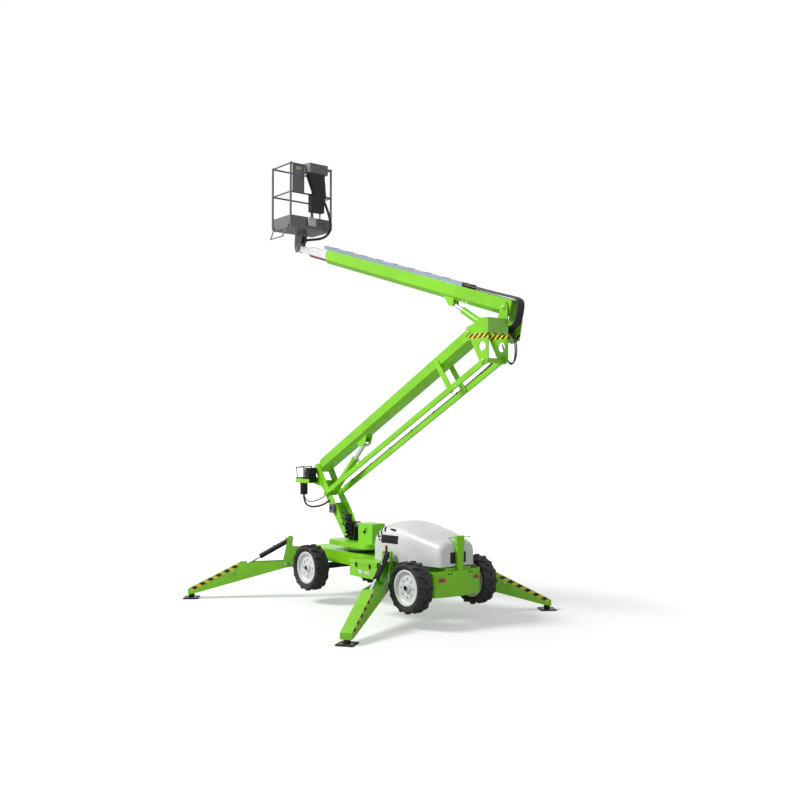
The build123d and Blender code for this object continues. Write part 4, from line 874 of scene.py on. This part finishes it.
def flank_patch(y, z, side, thick):
    """Closed thin patch on the hood's flank."""

    def build(work):
        layers = []
        for lift in (-0.002, thick):
            grid = []
            for i in range(11):
                far = y[0] + (y[1] - y[0]) * i / 10
                levels = [z[0] + (z[1] - z[0]) * j / 4 for j in range(5)]
                grid.append([work.verts.new(hood_side(far, level, side, lift)) for level in levels])
            layers.append(grid)
            for i in range(10):
                for j in range(4):
                    work.faces.new((grid[i][j], grid[i + 1][j], grid[i + 1][j + 1], grid[i][j + 1]))
        rim = [(i, 0) for i in range(10)] + [(10, j) for j in range(4)]
        rim += [(10 - i, 4) for i in range(10)] + [(0, 4 - j) for j in range(4)]
        for (i, j), (k, m) in zip(rim, rim[1:] + rim[:1]):
            work.faces.new((layers[0][i][j], layers[0][k][m], layers[1][k][m], layers[1][i][j]))

    return shaped(build)


signal_red = painted("signal_red", (0.46, 0.012, 0.010, 1), 0.05, 0.1)
sign_white = painted("sign_white", (0.70, 0.70, 0.66, 1), 0.08, 0.2)
lamp_red = painted("lamp_red", (0.32, 0.006, 0.008, 1), 0.04, 0.2, Coat_Weight=0.8, Coat_Roughness=0.05)
trim = Kit("hood_trim", "chassis", black_paint, "black_paint")
trim.take(flank_patch((0.79, 1.14), (1.146, 1.266), 1, 0.004))
for high in (1.185, 1.235):
    spot = hood_side(0.752, high, 1)
    trim.bar(spot, spot + Vector((0.014, 0, 0.002)), 0.012, 0.010)
trim.block(hood_side(0.90, 0.992, 1, 0.006), (0.022, 0.034, 0.08))
grip = hood_side(1.0, 1.352, 1, 0.012)
trim.block(grip, (0.03, 0.11, 0.024), Matrix.Rotation(radians(-4), 3, "X"), 0.008)
trim.block((0, 1.985, 1.0), (0.30, 0.012, 0.16), None, 0.004)
trim.done()
red = Kit("isolator_handle", "chassis", signal_red, "cover_white")
red.block(hood_side(0.90, 1.073, 1, 0.006), (0.026, 0.036, 0.075), None, 0.008)
red.done()
print("hood fittings done")

# %% [markdown]
# Every hinge turns on a steel pin that is held by a cap and a bolt. The pins themselves are in the CAD,
# inside their bores, so only the caps are added, on the faces that the pins come out of. One small function
# serves the legs, the booms and the basket, and each cap rides on the body whose plate it is bolted to.


# %% Pins
def pin_cap(kit, bolts, centre, towards, radius):
    """Pin cap with one bolt on a flat face."""
    centre, towards = Vector(centre), Vector(towards)
    kit.bar(centre, centre + 0.010 * towards, radius, 0.93 * radius, 28, 0.0015)
    bolts.take(bolt_mesh(0.3 * radius), aim(centre + 0.010 * towards, centre + 0.02 * towards))


AHEAD = Vector((1, 0, 0))
PINS = {
    "turret": [(BOOM_FOOT, 0.137, 0.052)],
    "tie_bars": [(TIE_FOOT, 0.177, 0.040)],
    "boom_knuckle": [(BOOM_HEAD, 0.198, 0.052), (TIE_HEAD, 0.198, 0.045)],
    "basket_bracket": [(NOSE, 0.0603, 0.036)],
}
for body, places in PINS.items():
    paint, slot = (basket_grey, "dark_grey") if body == "basket_bracket" else (lift_green, "lift_green")
    steel = Kit(f"pin_caps_{body}", body, paint, slot)
    screws = Kit(f"pin_bolts_{body}", body, zinc, "chrome")
    for place, half, radius in places:
        for out in (1, -1):
            pin_cap(steel, screws, place + out * half * AHEAD, out * AHEAD, radius)
    if body == "boom_knuckle":
        for place in (UPPER_FOOT, UPPER_FOOT + Vector((0, -0.38, -0.282))):
            spot = Vector((0, place.y, place.z))
            pin_cap(steel, screws, spot - 0.417 * AHEAD, -AHEAD, 0.05)
            pin_cap(steel, screws, spot - 0.183 * AHEAD, AHEAD, 0.05)
    steel.done()
    screws.done()
print("boom pins capped", len(PINS))

# %% [markdown]
# Each leg has three pins: its hinge and the top of its cylinder on the chassis, and the cylinder's rod on the
# leg. The four legs point outwards at angles of their own, so the caps are set across each leg's own
# direction. A ring of bolts holds the foot.

# %% Leg pins
chassis_caps = Kit("hinge_caps", "chassis", lift_green, "lift_green")
chassis_bolts = Kit("hinge_bolts", "chassis", zinc, "chrome")
for end, side in CORNERS:
    hinge, out = leg_axes(end, side)
    across = Vector((0, 0, 1)).cross(out)
    top = hinge - 0.08 * out + Vector((0, 0, 0.423))
    leg_caps = Kit(f"leg_caps_{end}_{side}", f"leg_{end}_{side}", lift_green, "lift_green")
    leg_bolts = Kit(f"leg_bolts_{end}_{side}", f"leg_{end}_{side}", zinc, "chrome")
    rod_pin = hinge + 0.9 * out - Vector((0, 0, 0.1246))
    for way in (1, -1):
        pin_cap(chassis_caps, chassis_bolts, hinge + 0.085 * way * across, way * across, 0.046)
        pin_cap(chassis_caps, chassis_bolts, top + 0.069 * way * across, way * across, 0.034)
        pin_cap(leg_caps, leg_bolts, rod_pin + 0.085 * way * across, way * across, 0.032)
    toe = hinge + LEG_REACH * out
    bolt_ring(leg_bolts, (toe.x, toe.y, 0.022), (0, 0, 1), 0.105, 4, 0.011)
    leg_caps.done()
    leg_bolts.done()
chassis_caps.done()
chassis_bolts.done()
print("leg pins capped", len(CORNERS))

# %% [markdown]
# Each hydraulic cylinder has two ports and a steel pipe that feeds the far end, and the largest a ring at its
# mouth. Their places could be typed in, but each barrel lies at an angle of its own. So the two ends of the
# barrel's axis are measured on its CAD mesh, and the fittings are set along that line.


# %% Cylinder fittings
def ends_of(name):
    """Two ends of a long node's axis, the lower one first."""
    spots = [nodes[name].matrix_world @ v.co for v in nodes[name].data.vertices]
    low = min(spots, key=lambda p: p.z)
    far = max(spots, key=lambda p: (p - low).length)
    low = max(spots, key=lambda p: (p - far).length)
    line = (far - low).normalized()
    middle = sum(spots, Vector()) / len(spots)
    reach = [(p - middle).dot(line) for p in spots]
    first, last = middle + min(reach) * line, middle + max(reach) * line
    return (first, last) if first.z < last.z else (last, first)


def cylinder_fittings(name, mouth_low, radius, up, reach=0.9, ring=False):
    """Ports and pipe on one barrel, and a ring at its mouth where there is room."""
    low, high = ends_of(name)
    foot, mouth = (high, low) if mouth_low else (low, high)
    line = (mouth - foot).normalized()
    span = (mouth - foot).length
    up = (Vector(up) - Vector(up).dot(line) * line).normalized()
    ports = Kit(f"ports_{name}", name, zinc, "chrome")
    if ring:
        ports.bar(mouth - 0.034 * line, mouth - 0.006 * line, 1.03 * radius, None, 32, 0.001)
    near, away = foot + 0.16 * span * line, foot + reach * span * line
    for spot in (near, away):
        ports.bar(spot + (radius - 0.003) * up, spot + (radius + 0.012) * up, 0.014, None, 6)
    rise = (radius + 0.018) * up
    first, last = near + rise, away + rise
    pipe = [near + radius * up, first, first + 0.02 * line, last - 0.02 * line, last, away + radius * up]
    ports.hose(pipe, 0.006)
    ports.done()


cylinder_fittings("lower_cylinder_barrel", False, 0.058, (0, -1, 0), ring=True)
cylinder_fittings("upper_cylinder_barrel", False, 0.052, (0, 0, -1))
for end, side in CORNERS:
    cylinder_fittings(f"leg_{end}_{side}_barrel", True, 0.045, (0, 0, 1), 0.55)
print("cylinders fitted", 2 + len(CORNERS))

# %% [markdown]
# Hydraulic hoses lie along the booms and hang in loops at the joints. Each is a round tube on a smooth curve
# through a few points, which is quicker to shape than a mesh and easy to move. The bundle over the upper
# boom's root and the hose under the basket cross a joint, so these two ride on no body and stay where they
# are laid.

# %% Boom hoses
OVER_ROOT = ((0.96, 0.150), (0.6, 0.150), (0.2, 0.152), (-0.10, 0.165), (-0.21, 0.14))
DOWN_KNUCKLE = ((2.965, 4.54), (2.92, 4.37), (2.83, 4.32), (2.74, 4.30))
bundle = Kit("boom_hoses", None, hose, "rubber")
for shift in (-0.056, -0.028, 0.0, 0.028, 0.056):
    route = [on_upper(along, up, shift) for along, up in OVER_ROOT]
    route += [Vector((BOOM_X + shift, y, z)) for y, z in DOWN_KNUCKLE]
    bundle.hose(route, 0.0145)
bundle = bundle.done()
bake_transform(bundle)
loops = Kit("knuckle_hoses", "boom_knuckle", hose, "rubber")
for shift in (0.0, 0.03):
    route = [(-0.31 + shift, 2.70, 4.30), (-0.31 + shift, 2.86, 4.22), (-0.30 + shift, 2.91, 3.98 - shift)]
    route += [(-0.27 + shift, 2.88, 3.80 - shift), (-0.225, 2.80, 3.80), (-0.212, 2.74, 3.95)]
    route += [(-0.205, 2.70, 4.08)]
    loops.hose(route, 0.009)
loops.bar((-0.40, 2.70, 4.30), (-0.2, 2.70, 4.30), 0.05, None, 28, 0.004)
loops.bar((-0.385, 2.70, 4.30), (-0.33, 2.70, 4.30), 0.062, None, 28, 0.004)
loops.done()
lead = Kit("basket_hose", None, hose, "rubber")
route = [(-0.50, -2.27, 7.16), (-0.54, -2.22, 7.02), (-0.63, -2.215, 6.80), (-0.69, -2.25, 6.60)]
route += [(-0.64, -2.38, 6.45), (-0.50, -2.55, 6.43), (-0.41, -2.64, 6.43), (-0.388, -2.68, 6.42)]
route += [(-0.386, -2.70, 6.37)]
lead.hose(route, 0.024)
lead = lead.done()
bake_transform(lead)
print("boom hoses laid")

# %% [markdown]
# Two hoses run the whole length of the right-hand tie bar, held by clips at an even step. The clips are one
# small block, and the row tree sets them along the bar in the bar's own leaning axes.


# %% Tie bar hoses
def on_tie(along, up, x):
    """Point beside the tie bars."""
    return TIE_FOOT + along * ALONG_LOWER + up * UP_LOWER + x * AHEAD


ALONG_TIE = ((0.12, 0.046), (0.3, 0.05), (1.5, 0.05), (3.0, 0.05), (4.1, 0.05), (4.26, 0.07))
LEAN = Matrix.Rotation(LOWER, 4, "X")
runs = Kit("tie_bar_hoses", "tie_bars", hose, "rubber")
for shift in (-0.151, -0.169):
    runs.hose([on_tie(along, up, shift) for along, up in ALONG_TIE], 0.0085)
runs.done()
clips = Kit("tie_bar_clips", "tie_bars", black_paint, "black_paint")
clip = block_mesh((0.044, 0.03, 0.026), 0.004)
clip_row = repeated(row_tree, clip, black_paint, Count=7, Step=(0, 0.6, 0))
clips.take(clip_row, Matrix.Translation(on_tie(0.4, 0.049, -0.16)) @ LEAN)
clips.done()
print("tie bar hoses laid")

# %% [markdown]
# On the turret, hoses drop from the control station to the deck, and a bank of valves with solenoids stands
# beside the post. Each solenoid is a short drum with a fitting and a hose that arches over to the post. The
# four are close enough alike for a loop, and each hose rises a little further than the one below it, so they
# don't overlap.

# %% Turret hoses and valve bank
turret_hoses = Kit("turret_hoses", "turret", hose, "rubber")
thick = [(0.247, -1.735, 1.74), (0.247, -1.735, 1.60), (0.235, -1.62, 1.52), (0.20, -1.42, 1.53)]
turret_hoses.hose(thick + [(0.16, -1.22, 1.58), (0.145, -1.10, 1.66)], 0.018)
thin = [(0.275, -1.70, 1.76), (0.27, -1.66, 1.62), (0.24, -1.50, 1.60), (0.19, -1.34, 1.66), (0.15, -1.24, 1.72)]
turret_hoses.hose(thin, 0.010)
for step in range(5):
    x = -0.08 + 0.04 * step
    route = [(x, -0.47, 1.255), (x, -0.475, 1.33), (0.9 * x, -0.58, 1.34), (0.85 * x, -0.70, 1.27)]
    turret_hoses.hose(route + [(0.8 * x, -0.80, 1.23)], 0.009)
turret_hoses.done()
valves = Kit("valve_bank", "turret", black_paint, "black_paint")
fittings = Kit("valve_fittings", "turret", zinc, "chrome")
valves.block((0.075, -0.585, 1.19), (0.12, 0.10, 0.30), None, 0.008)
valves.block((0.085, -0.63, 1.40), (0.09, 0.08, 0.12), None, 0.008)
for step in range(4):
    z = 1.09 + 0.07 * step
    valves.bar((0.13, -0.585, z), (0.185, -0.585, z), 0.022, 0.020, 20, 0.003)
    fittings.bar((0.11, -0.535, z), (0.11, -0.515, z), 0.013, None, 6)
    route = [(0.11, -0.52, z), (0.115, -0.47, z + 0.02), (0.15, -0.47, z + 0.14), (0.16, -0.60, z + 0.22)]
    valves.hose(route + [(0.15, -0.74, z + 0.20 + 0.03 * step)], 0.010)
    fittings.bar((0.185, -0.585, z), (0.193, -0.585, z), 0.010, None, 6)
valves.done()
fittings.done()
print("turret hoses laid")

# %% [markdown]
# The ground control station is a green tray with a lip, a row of valve levers inside the guard, and a
# junction box on the post. A lever is a thin leaning rod with a ball knob, modelled once and repeated by the
# row tree. The rest are plain bars and blocks with rounded edges, because light catches an edge even on a
# small part.


# %% Control station and turret
def lever_mesh():
    """One valve lever: a leaning rod with a ball knob."""

    def build(work):
        lean = Matrix.Rotation(radians(14), 4, "X")
        bmesh.ops.create_cone(work, cap_ends=True, segments=10, radius1=0.0045, radius2=0.004, depth=0.13,
                              matrix=lean @ Matrix.Translation((0, 0, 0.065)))
        bmesh.ops.create_uvsphere(work, u_segments=14, v_segments=8, radius=0.012,
                                  matrix=lean @ Matrix.Translation((0, 0, 0.135)))

    return shaped(build)


levers = Kit("valve_levers", "turret", sign_white, "cover_white")
lever_row = repeated(row_tree, lever_mesh(), sign_white, Count=6, Step=(0.026, 0, 0))
levers.take(lever_row, Matrix.Translation((0.182, -1.615, 1.985)))
levers.done()
station = Kit("control_station", "turret", black_paint, "black_paint")
station.block((0.247, -1.615, 1.970), (0.17, 0.05, 0.035))
station.bar((0.20, -1.75, 1.952), (0.20, -1.75, 1.985), 0.018, 0.015)
station.bar((0.29, -1.75, 1.952), (0.29, -1.75, 1.985), 0.018, 0.015)
station.bar((0.197, -0.98, 1.545), (0.216, -0.98, 1.545), 0.024, 0.020, 24, 0.003)
station.bar((0.131, -0.12, 1.20), (0.150, -0.12, 1.20), 0.022, None, 24, 0.003)
station.bar((0.145, -0.12, 1.20), (0.155, -0.06, 1.27), 0.007)
station.done()
lip = Kit("tray_lip", "turret", lift_green, "lift_green")
lip.block((0.247, -1.828, 1.985), (0.22, 0.006, 0.09), None, 0.002)
lip.block((0.3545, -1.62, 1.975), (0.006, 0.42, 0.07), None, 0.002)
lip.block((0, -1.3625, 1.91), (0.243, 0.012, 0.175), Matrix.Rotation(radians(36.87), 3, "X"), 0.002)
lip.done()
box = Kit("junction_box", "turret", basket_grey, "dark_grey")
box.block((0.167, -0.98, 1.53), (0.06, 0.13, 0.15), None, 0.008)
box.done()
stop = Kit("station_stop", "turret", signal_red, "cover_white")
stop.bar((0.247, -1.75, 1.952), (0.247, -1.75, 1.99), 0.022, 0.020, 24, 0.004)
stop.done()
print("control station done")

# %% [markdown]
# The basket's floor is tread plate. It could be a bump in the material, but it is seen from close by, so its
# raised marks are modelled: one pair of lozenges that lean opposite ways, set over the floor by the grid
# tree.


# %% Basket floor
def tread_mesh():
    """Pair of raised lozenges of tread plate."""

    def build(work):
        for turn, x in ((0.8, -0.012), (-0.8, 0.012)):
            place = Matrix.Translation((x, 0, 0)) @ Matrix.Rotation(turn, 4, "Z")
            bmesh.ops.create_cube(work, size=1.0, matrix=place @ Matrix.Diagonal((0.026, 0.007, 0.004, 1)))

    return shaped(build, 0.0015, 1)


BASKET_X, BASKET_Y, FLOOR_Z = -0.3, -2.67, 6.60
deck = Kit("tread_plate", "basket", basket_grey, "dark_grey")
tread = repeated(grid_tree, tread_mesh(), basket_grey, Width=0.80, Length=0.56, Across=16, Along=15)
deck.take(tread, Matrix.Translation((BASKET_X, BASKET_Y, FLOOR_Z + 0.0015)))
deck.done()
print("basket floor done")

# %% [markdown]
# The basket carries two short joysticks, a row of switches and a stop button on its console, lanyard eyes at
# the corners, a label, a document case and a turning motor below. The switches are one tapered shape,
# repeated by the row tree. The controls are kept low, behind the console's edge, as seen from the ground.


# %% Basket controls and fittings
def toggle_mesh():
    """Short tapered switch."""

    def build(work):
        bmesh.ops.create_cone(work, cap_ends=True, segments=12, radius1=0.007, radius2=0.004, depth=0.026)

    return shaped(build)


STICK_Y = -2.345
panel = Kit("console_controls", "basket", black_paint, "black_paint")
for x in (-0.47, -0.29):
    panel.bar((x, STICK_Y, 7.772), (x, STICK_Y, 7.787), 0.030, 0.018, 24, 0.003)
    panel.bar((x, STICK_Y, 7.784), (x, STICK_Y, 7.805), 0.009, 0.011, 16)
toggle_row = repeated(row_tree, toggle_mesh(), black_paint, Count=6, Step=(0.03, 0, 0))
panel.take(toggle_row, Matrix.Translation((-0.455, -2.385, 7.787)))
for y in (-2.94, -2.40):
    for x in (-0.715, 0.115):
        near, far, top = y - 0.03, y + 0.03, FLOOR_Z + 0.055
        panel.hose([(x, near, FLOOR_Z), (x, near, top), (x, far, top), (x, far, FLOOR_Z)], 0.006)
panel.done()
button = Kit("console_stop", "basket", signal_red, "cover_white")
button.bar((-0.38, -2.340, 7.774), (-0.38, -2.340, 7.795), 0.024, 0.021, 24, 0.004)
button.done()
sign_yellow = painted("sign_yellow", (0.60, 0.58, 0.17, 1), 0.04, 0.0)
label = Kit("basket_label", "basket", sign_yellow, "cover_white")
label.block((-0.02, -2.357, 7.665), (0.10, 0.003, 0.05), None, 0.001)
label.done()
case = Kit("document_case", "basket", sign_white, "cover_white")
case.block((-0.30, -2.330, 6.70), (0.16, 0.03, 0.15), None, 0.006)
case.done()
motor = Kit("turning_motor", "basket_bracket", black_paint, "black_paint")
motor.bar((BASKET_X, BASKET_Y, 6.472), (BASKET_X, BASKET_Y, 6.37), 0.040, 0.036, 28, 0.004)
motor.done()
print("basket fittings done")

# %% [markdown]
# The chassis has lids, latches and blank plates on its side boxes, and two rear lamps on its bumper. All of
# them come in pairs. A Mirror modifier could make the second side, but a loop over the two sides also keeps
# every face the right way out, and the pieces sit at the origin as the export needs.

# %% Chassis trim
latches = Kit("box_latches", "chassis", black_paint, "black_paint")
plates = Kit("blank_plates", "chassis", sign_white, "cover_white")
lids = Kit("box_lids", "chassis", lift_green, "lift_green")
lamps = Kit("rear_lamps", "chassis", lamp_red, "cover_white")
for out in (1, -1):
    lids.block((out * 0.515, 0.667, 0.868), (0.474, 0.69, 0.018), None, 0.005)
    lids.block((out * 0.752, 0.667, 0.835), (0.008, 0.69, 0.05), None, 0.003)
    for y in (0.50, 0.84):
        latches.block((out * 0.759, y, 0.812), (0.014, 0.04, 0.055), None, 0.004)
        latches.bar((out * 0.755, y, 0.775), (out * 0.768, y, 0.775), 0.012, 0.010, 16)
    plates.block((out * 0.7515, 0.60, 0.70), (0.003, 0.09, 0.06), None, 0.001)
    plates.block((out * 0.7515, 0.76, 0.70), (0.003, 0.13, 0.045), None, 0.001)
    lamps.block((out * 0.33, 2.010, 0.70), (0.10, 0.034, 0.055), None, 0.008)
    bolt_row(latches, (out * 0.18, 2.036, 0.78), (out * 0.05, -0.004, 0), 2, (0, 1, 0), 0.009)
for kit in (latches, plates, lids, lamps):
    kit.done()
print("chassis trim done")

# %% [markdown]
# The rear bumper is one bent plate. Its middle is in the CAD, and its two ends are added here: each turns
# forward round a corner, so it is drawn as an outline of two arcs seen from above and raised to the plate's
# height.


# %% Bumper ends
WRAP_X, WRAP_Y, WRAP_END, WRAP_RADIUS, WRAP_PLATE = 0.415, 1.935, 1.83, 0.05, 0.012
WRAP_Z = (0.45, 0.82)


def wrap_mesh(side):
    """Bumper end that turns forward round a corner."""
    bend = [radians(15 * k) for k in range(7)]
    outer, inner = [
        [(WRAP_X + r * sin(a), WRAP_Y + r * cos(a)) for a in bend] + [(WRAP_X + r, WRAP_END)]
        for r in (WRAP_RADIUS, WRAP_RADIUS - WRAP_PLATE)
    ]

    def build(work):
        loop = outer + inner[::-1]
        low, high = [[work.verts.new((side * x, y, z)) for x, y in loop] for z in WRAP_Z]
        count, last = len(loop), len(outer) - 1
        for k in range(count):
            work.faces.new((low[k], low[(k + 1) % count], high[(k + 1) % count], high[k]))
        for ring in (low, high):
            for k in range(last):
                work.faces.new((ring[k], ring[k + 1], ring[count - 2 - k], ring[count - 1 - k]))

    return shaped(build)


wraps = Kit("bumper_wraps", "chassis", lift_green, "lift_green")
for out in (1, -1):
    wraps.take(wrap_mesh(out))
wraps.done()
print("bumper ends done")

# %% [markdown]
# The inner boom slides on wear pads at the upper boom's mouth, and straps hold the hose track on its back.
# All of them lie square to the boom, so they are turned by the boom's own angle, and the row tree sets the
# straps.

# %% Boom pads and straps
MOUTH = 4.690
RAISE = Matrix.Rotation(-UPPER, 3, "X")
pads = Kit("wear_pads", "upper_boom", black_paint, "black_paint")
pads.block(on_upper(0.92, 0.149), (0.13, 0.20, 0.062), RAISE, 0.010)
for up in (0.1015, -0.1015):
    pads.block(on_upper(MOUTH, up), (0.07, 0.04, 0.014), RAISE, 0.003)
for side in (0.079, -0.079):
    pads.block(on_upper(MOUTH, 0.03, side), (0.012, 0.04, 0.09), RAISE, 0.003)
strap = block_mesh((0.122, 0.03, 0.006), 0.002)
strap_row = repeated(row_tree, strap, black_paint, Count=9, Step=(0, -0.44, 0))
pads.take(strap_row, Matrix.Translation(on_upper(1.02, 0.180)) @ RAISE.to_4x4())
pads.done()
print("boom trim done")

# %% [markdown]
# The machine stands on a pale floor that fades into a white background. A curved backdrop could do this, but
# it would show from other sides. So the floor is a large plane whose material glows white for the camera far
# away, and keeps the machine's shadow near it. It lights nothing, because only camera rays see the glow.

# %% Floor
bpy.ops.mesh.primitive_plane_add(size=120, location=(0, 0, -0.001))
floor = bpy.context.object
floor.name = "floor"


def floor_finish(place, normal):
    """Pale floor that keeps the shadow near the machine and fades to pure white far away."""
    x, y, z = split(place)
    away = (x * x + y * y) ** 0.5
    seen = place.node("ShaderNodeLightPath")
    mottle = noise(place, 0.6, 4.0).ramp(0.2, 0.8, 0.98, 1.0)
    glow = away.ramp(2.5, 9.0, 0.40, 1.0) * mottle * seen
    grey = mottle.blend((0, 0, 0, 1), (0.66, 0.66, 0.66, 1))
    return {"Base_Color": grey, "Emission_Color": glow.blend((0, 0, 0, 1), (1, 1, 1, 1))}


floor_pale = material("floor_pale", floor_finish, Roughness=0.9, Emission_Strength=1.0, Specular_IOR_Level=0.0)
floor.data.materials.append(floor_pale)
print("floor", floor.name)

# %% [markdown]
# Studio light is soft and comes from all round. The world gives a low, even light to the machine, but looks
# pure white to the camera and in reflections. One large key lamp, high on the machine's left, draws the
# shadow, and a weak fill lamp behind it lifts the right side. They are kept low enough that the white hood
# shows its shading, and only the lamp's own reflection on it is pure white.

# %% Light
AMBIENT = 0.29
world = bpy.data.worlds.new("studio")
scene.world = world
world.use_nodes = True
sky = world.node_tree
rays = sky.nodes.new("ShaderNodeLightPath")
camera_ray, glossy_ray, clear_ray = [
    Wire(sky, rays.outputs[f"Is {kind} Ray"]) for kind in ("Camera", "Glossy", "Transmission")
]
seen = camera_ray + glossy_ray + clear_ray
level = (seen > 0.5) * (1 - AMBIENT) + AMBIENT
sky.nodes["Background"].inputs["Color"].default_value = (1, 1, 1, 1)
sky.links.new(level.socket, sky.nodes["Background"].inputs["Strength"])


def area_light(name, place, target, size, power):
    """A square soft light that points at a spot."""
    lamp = bpy.data.lights.new(name, "AREA")
    lamp.size, lamp.energy = size, power
    obj = bpy.data.objects.new(name, lamp)
    scene.collection.objects.link(obj)
    obj.location = place
    obj.rotation_euler = (Vector(target) - Vector(place)).to_track_quat("-Z", "Y").to_euler()


area_light("key", (20, -9, 22), (0, 0, 3), 9, 8300)
area_light("fill", (-6, 13, 8), (0, 0, 3), 9, 160)
print("lamps", len(bpy.data.lights))

# %% [markdown]
# The camera stands to the rear left of the machine, a little under three metres up. Its place, direction and
# focal length were fitted to the picture, so that the render can be laid over it.

# %% Camera
lens = bpy.data.cameras.new("photo_camera")
lens.lens, lens.sensor_width = 42.94, 36
camera = bpy.data.objects.new("photo_camera", lens)
scene.collection.objects.link(camera)
camera.location = (9.479, 12.342, 2.89)
camera.rotation_euler = Vector((-0.629, -0.777, 0.0294)).to_track_quat("-Z", "Y").to_euler()
scene.camera = camera
scene.view_settings.view_transform = "Standard"
print("camera at", camera.location[:])
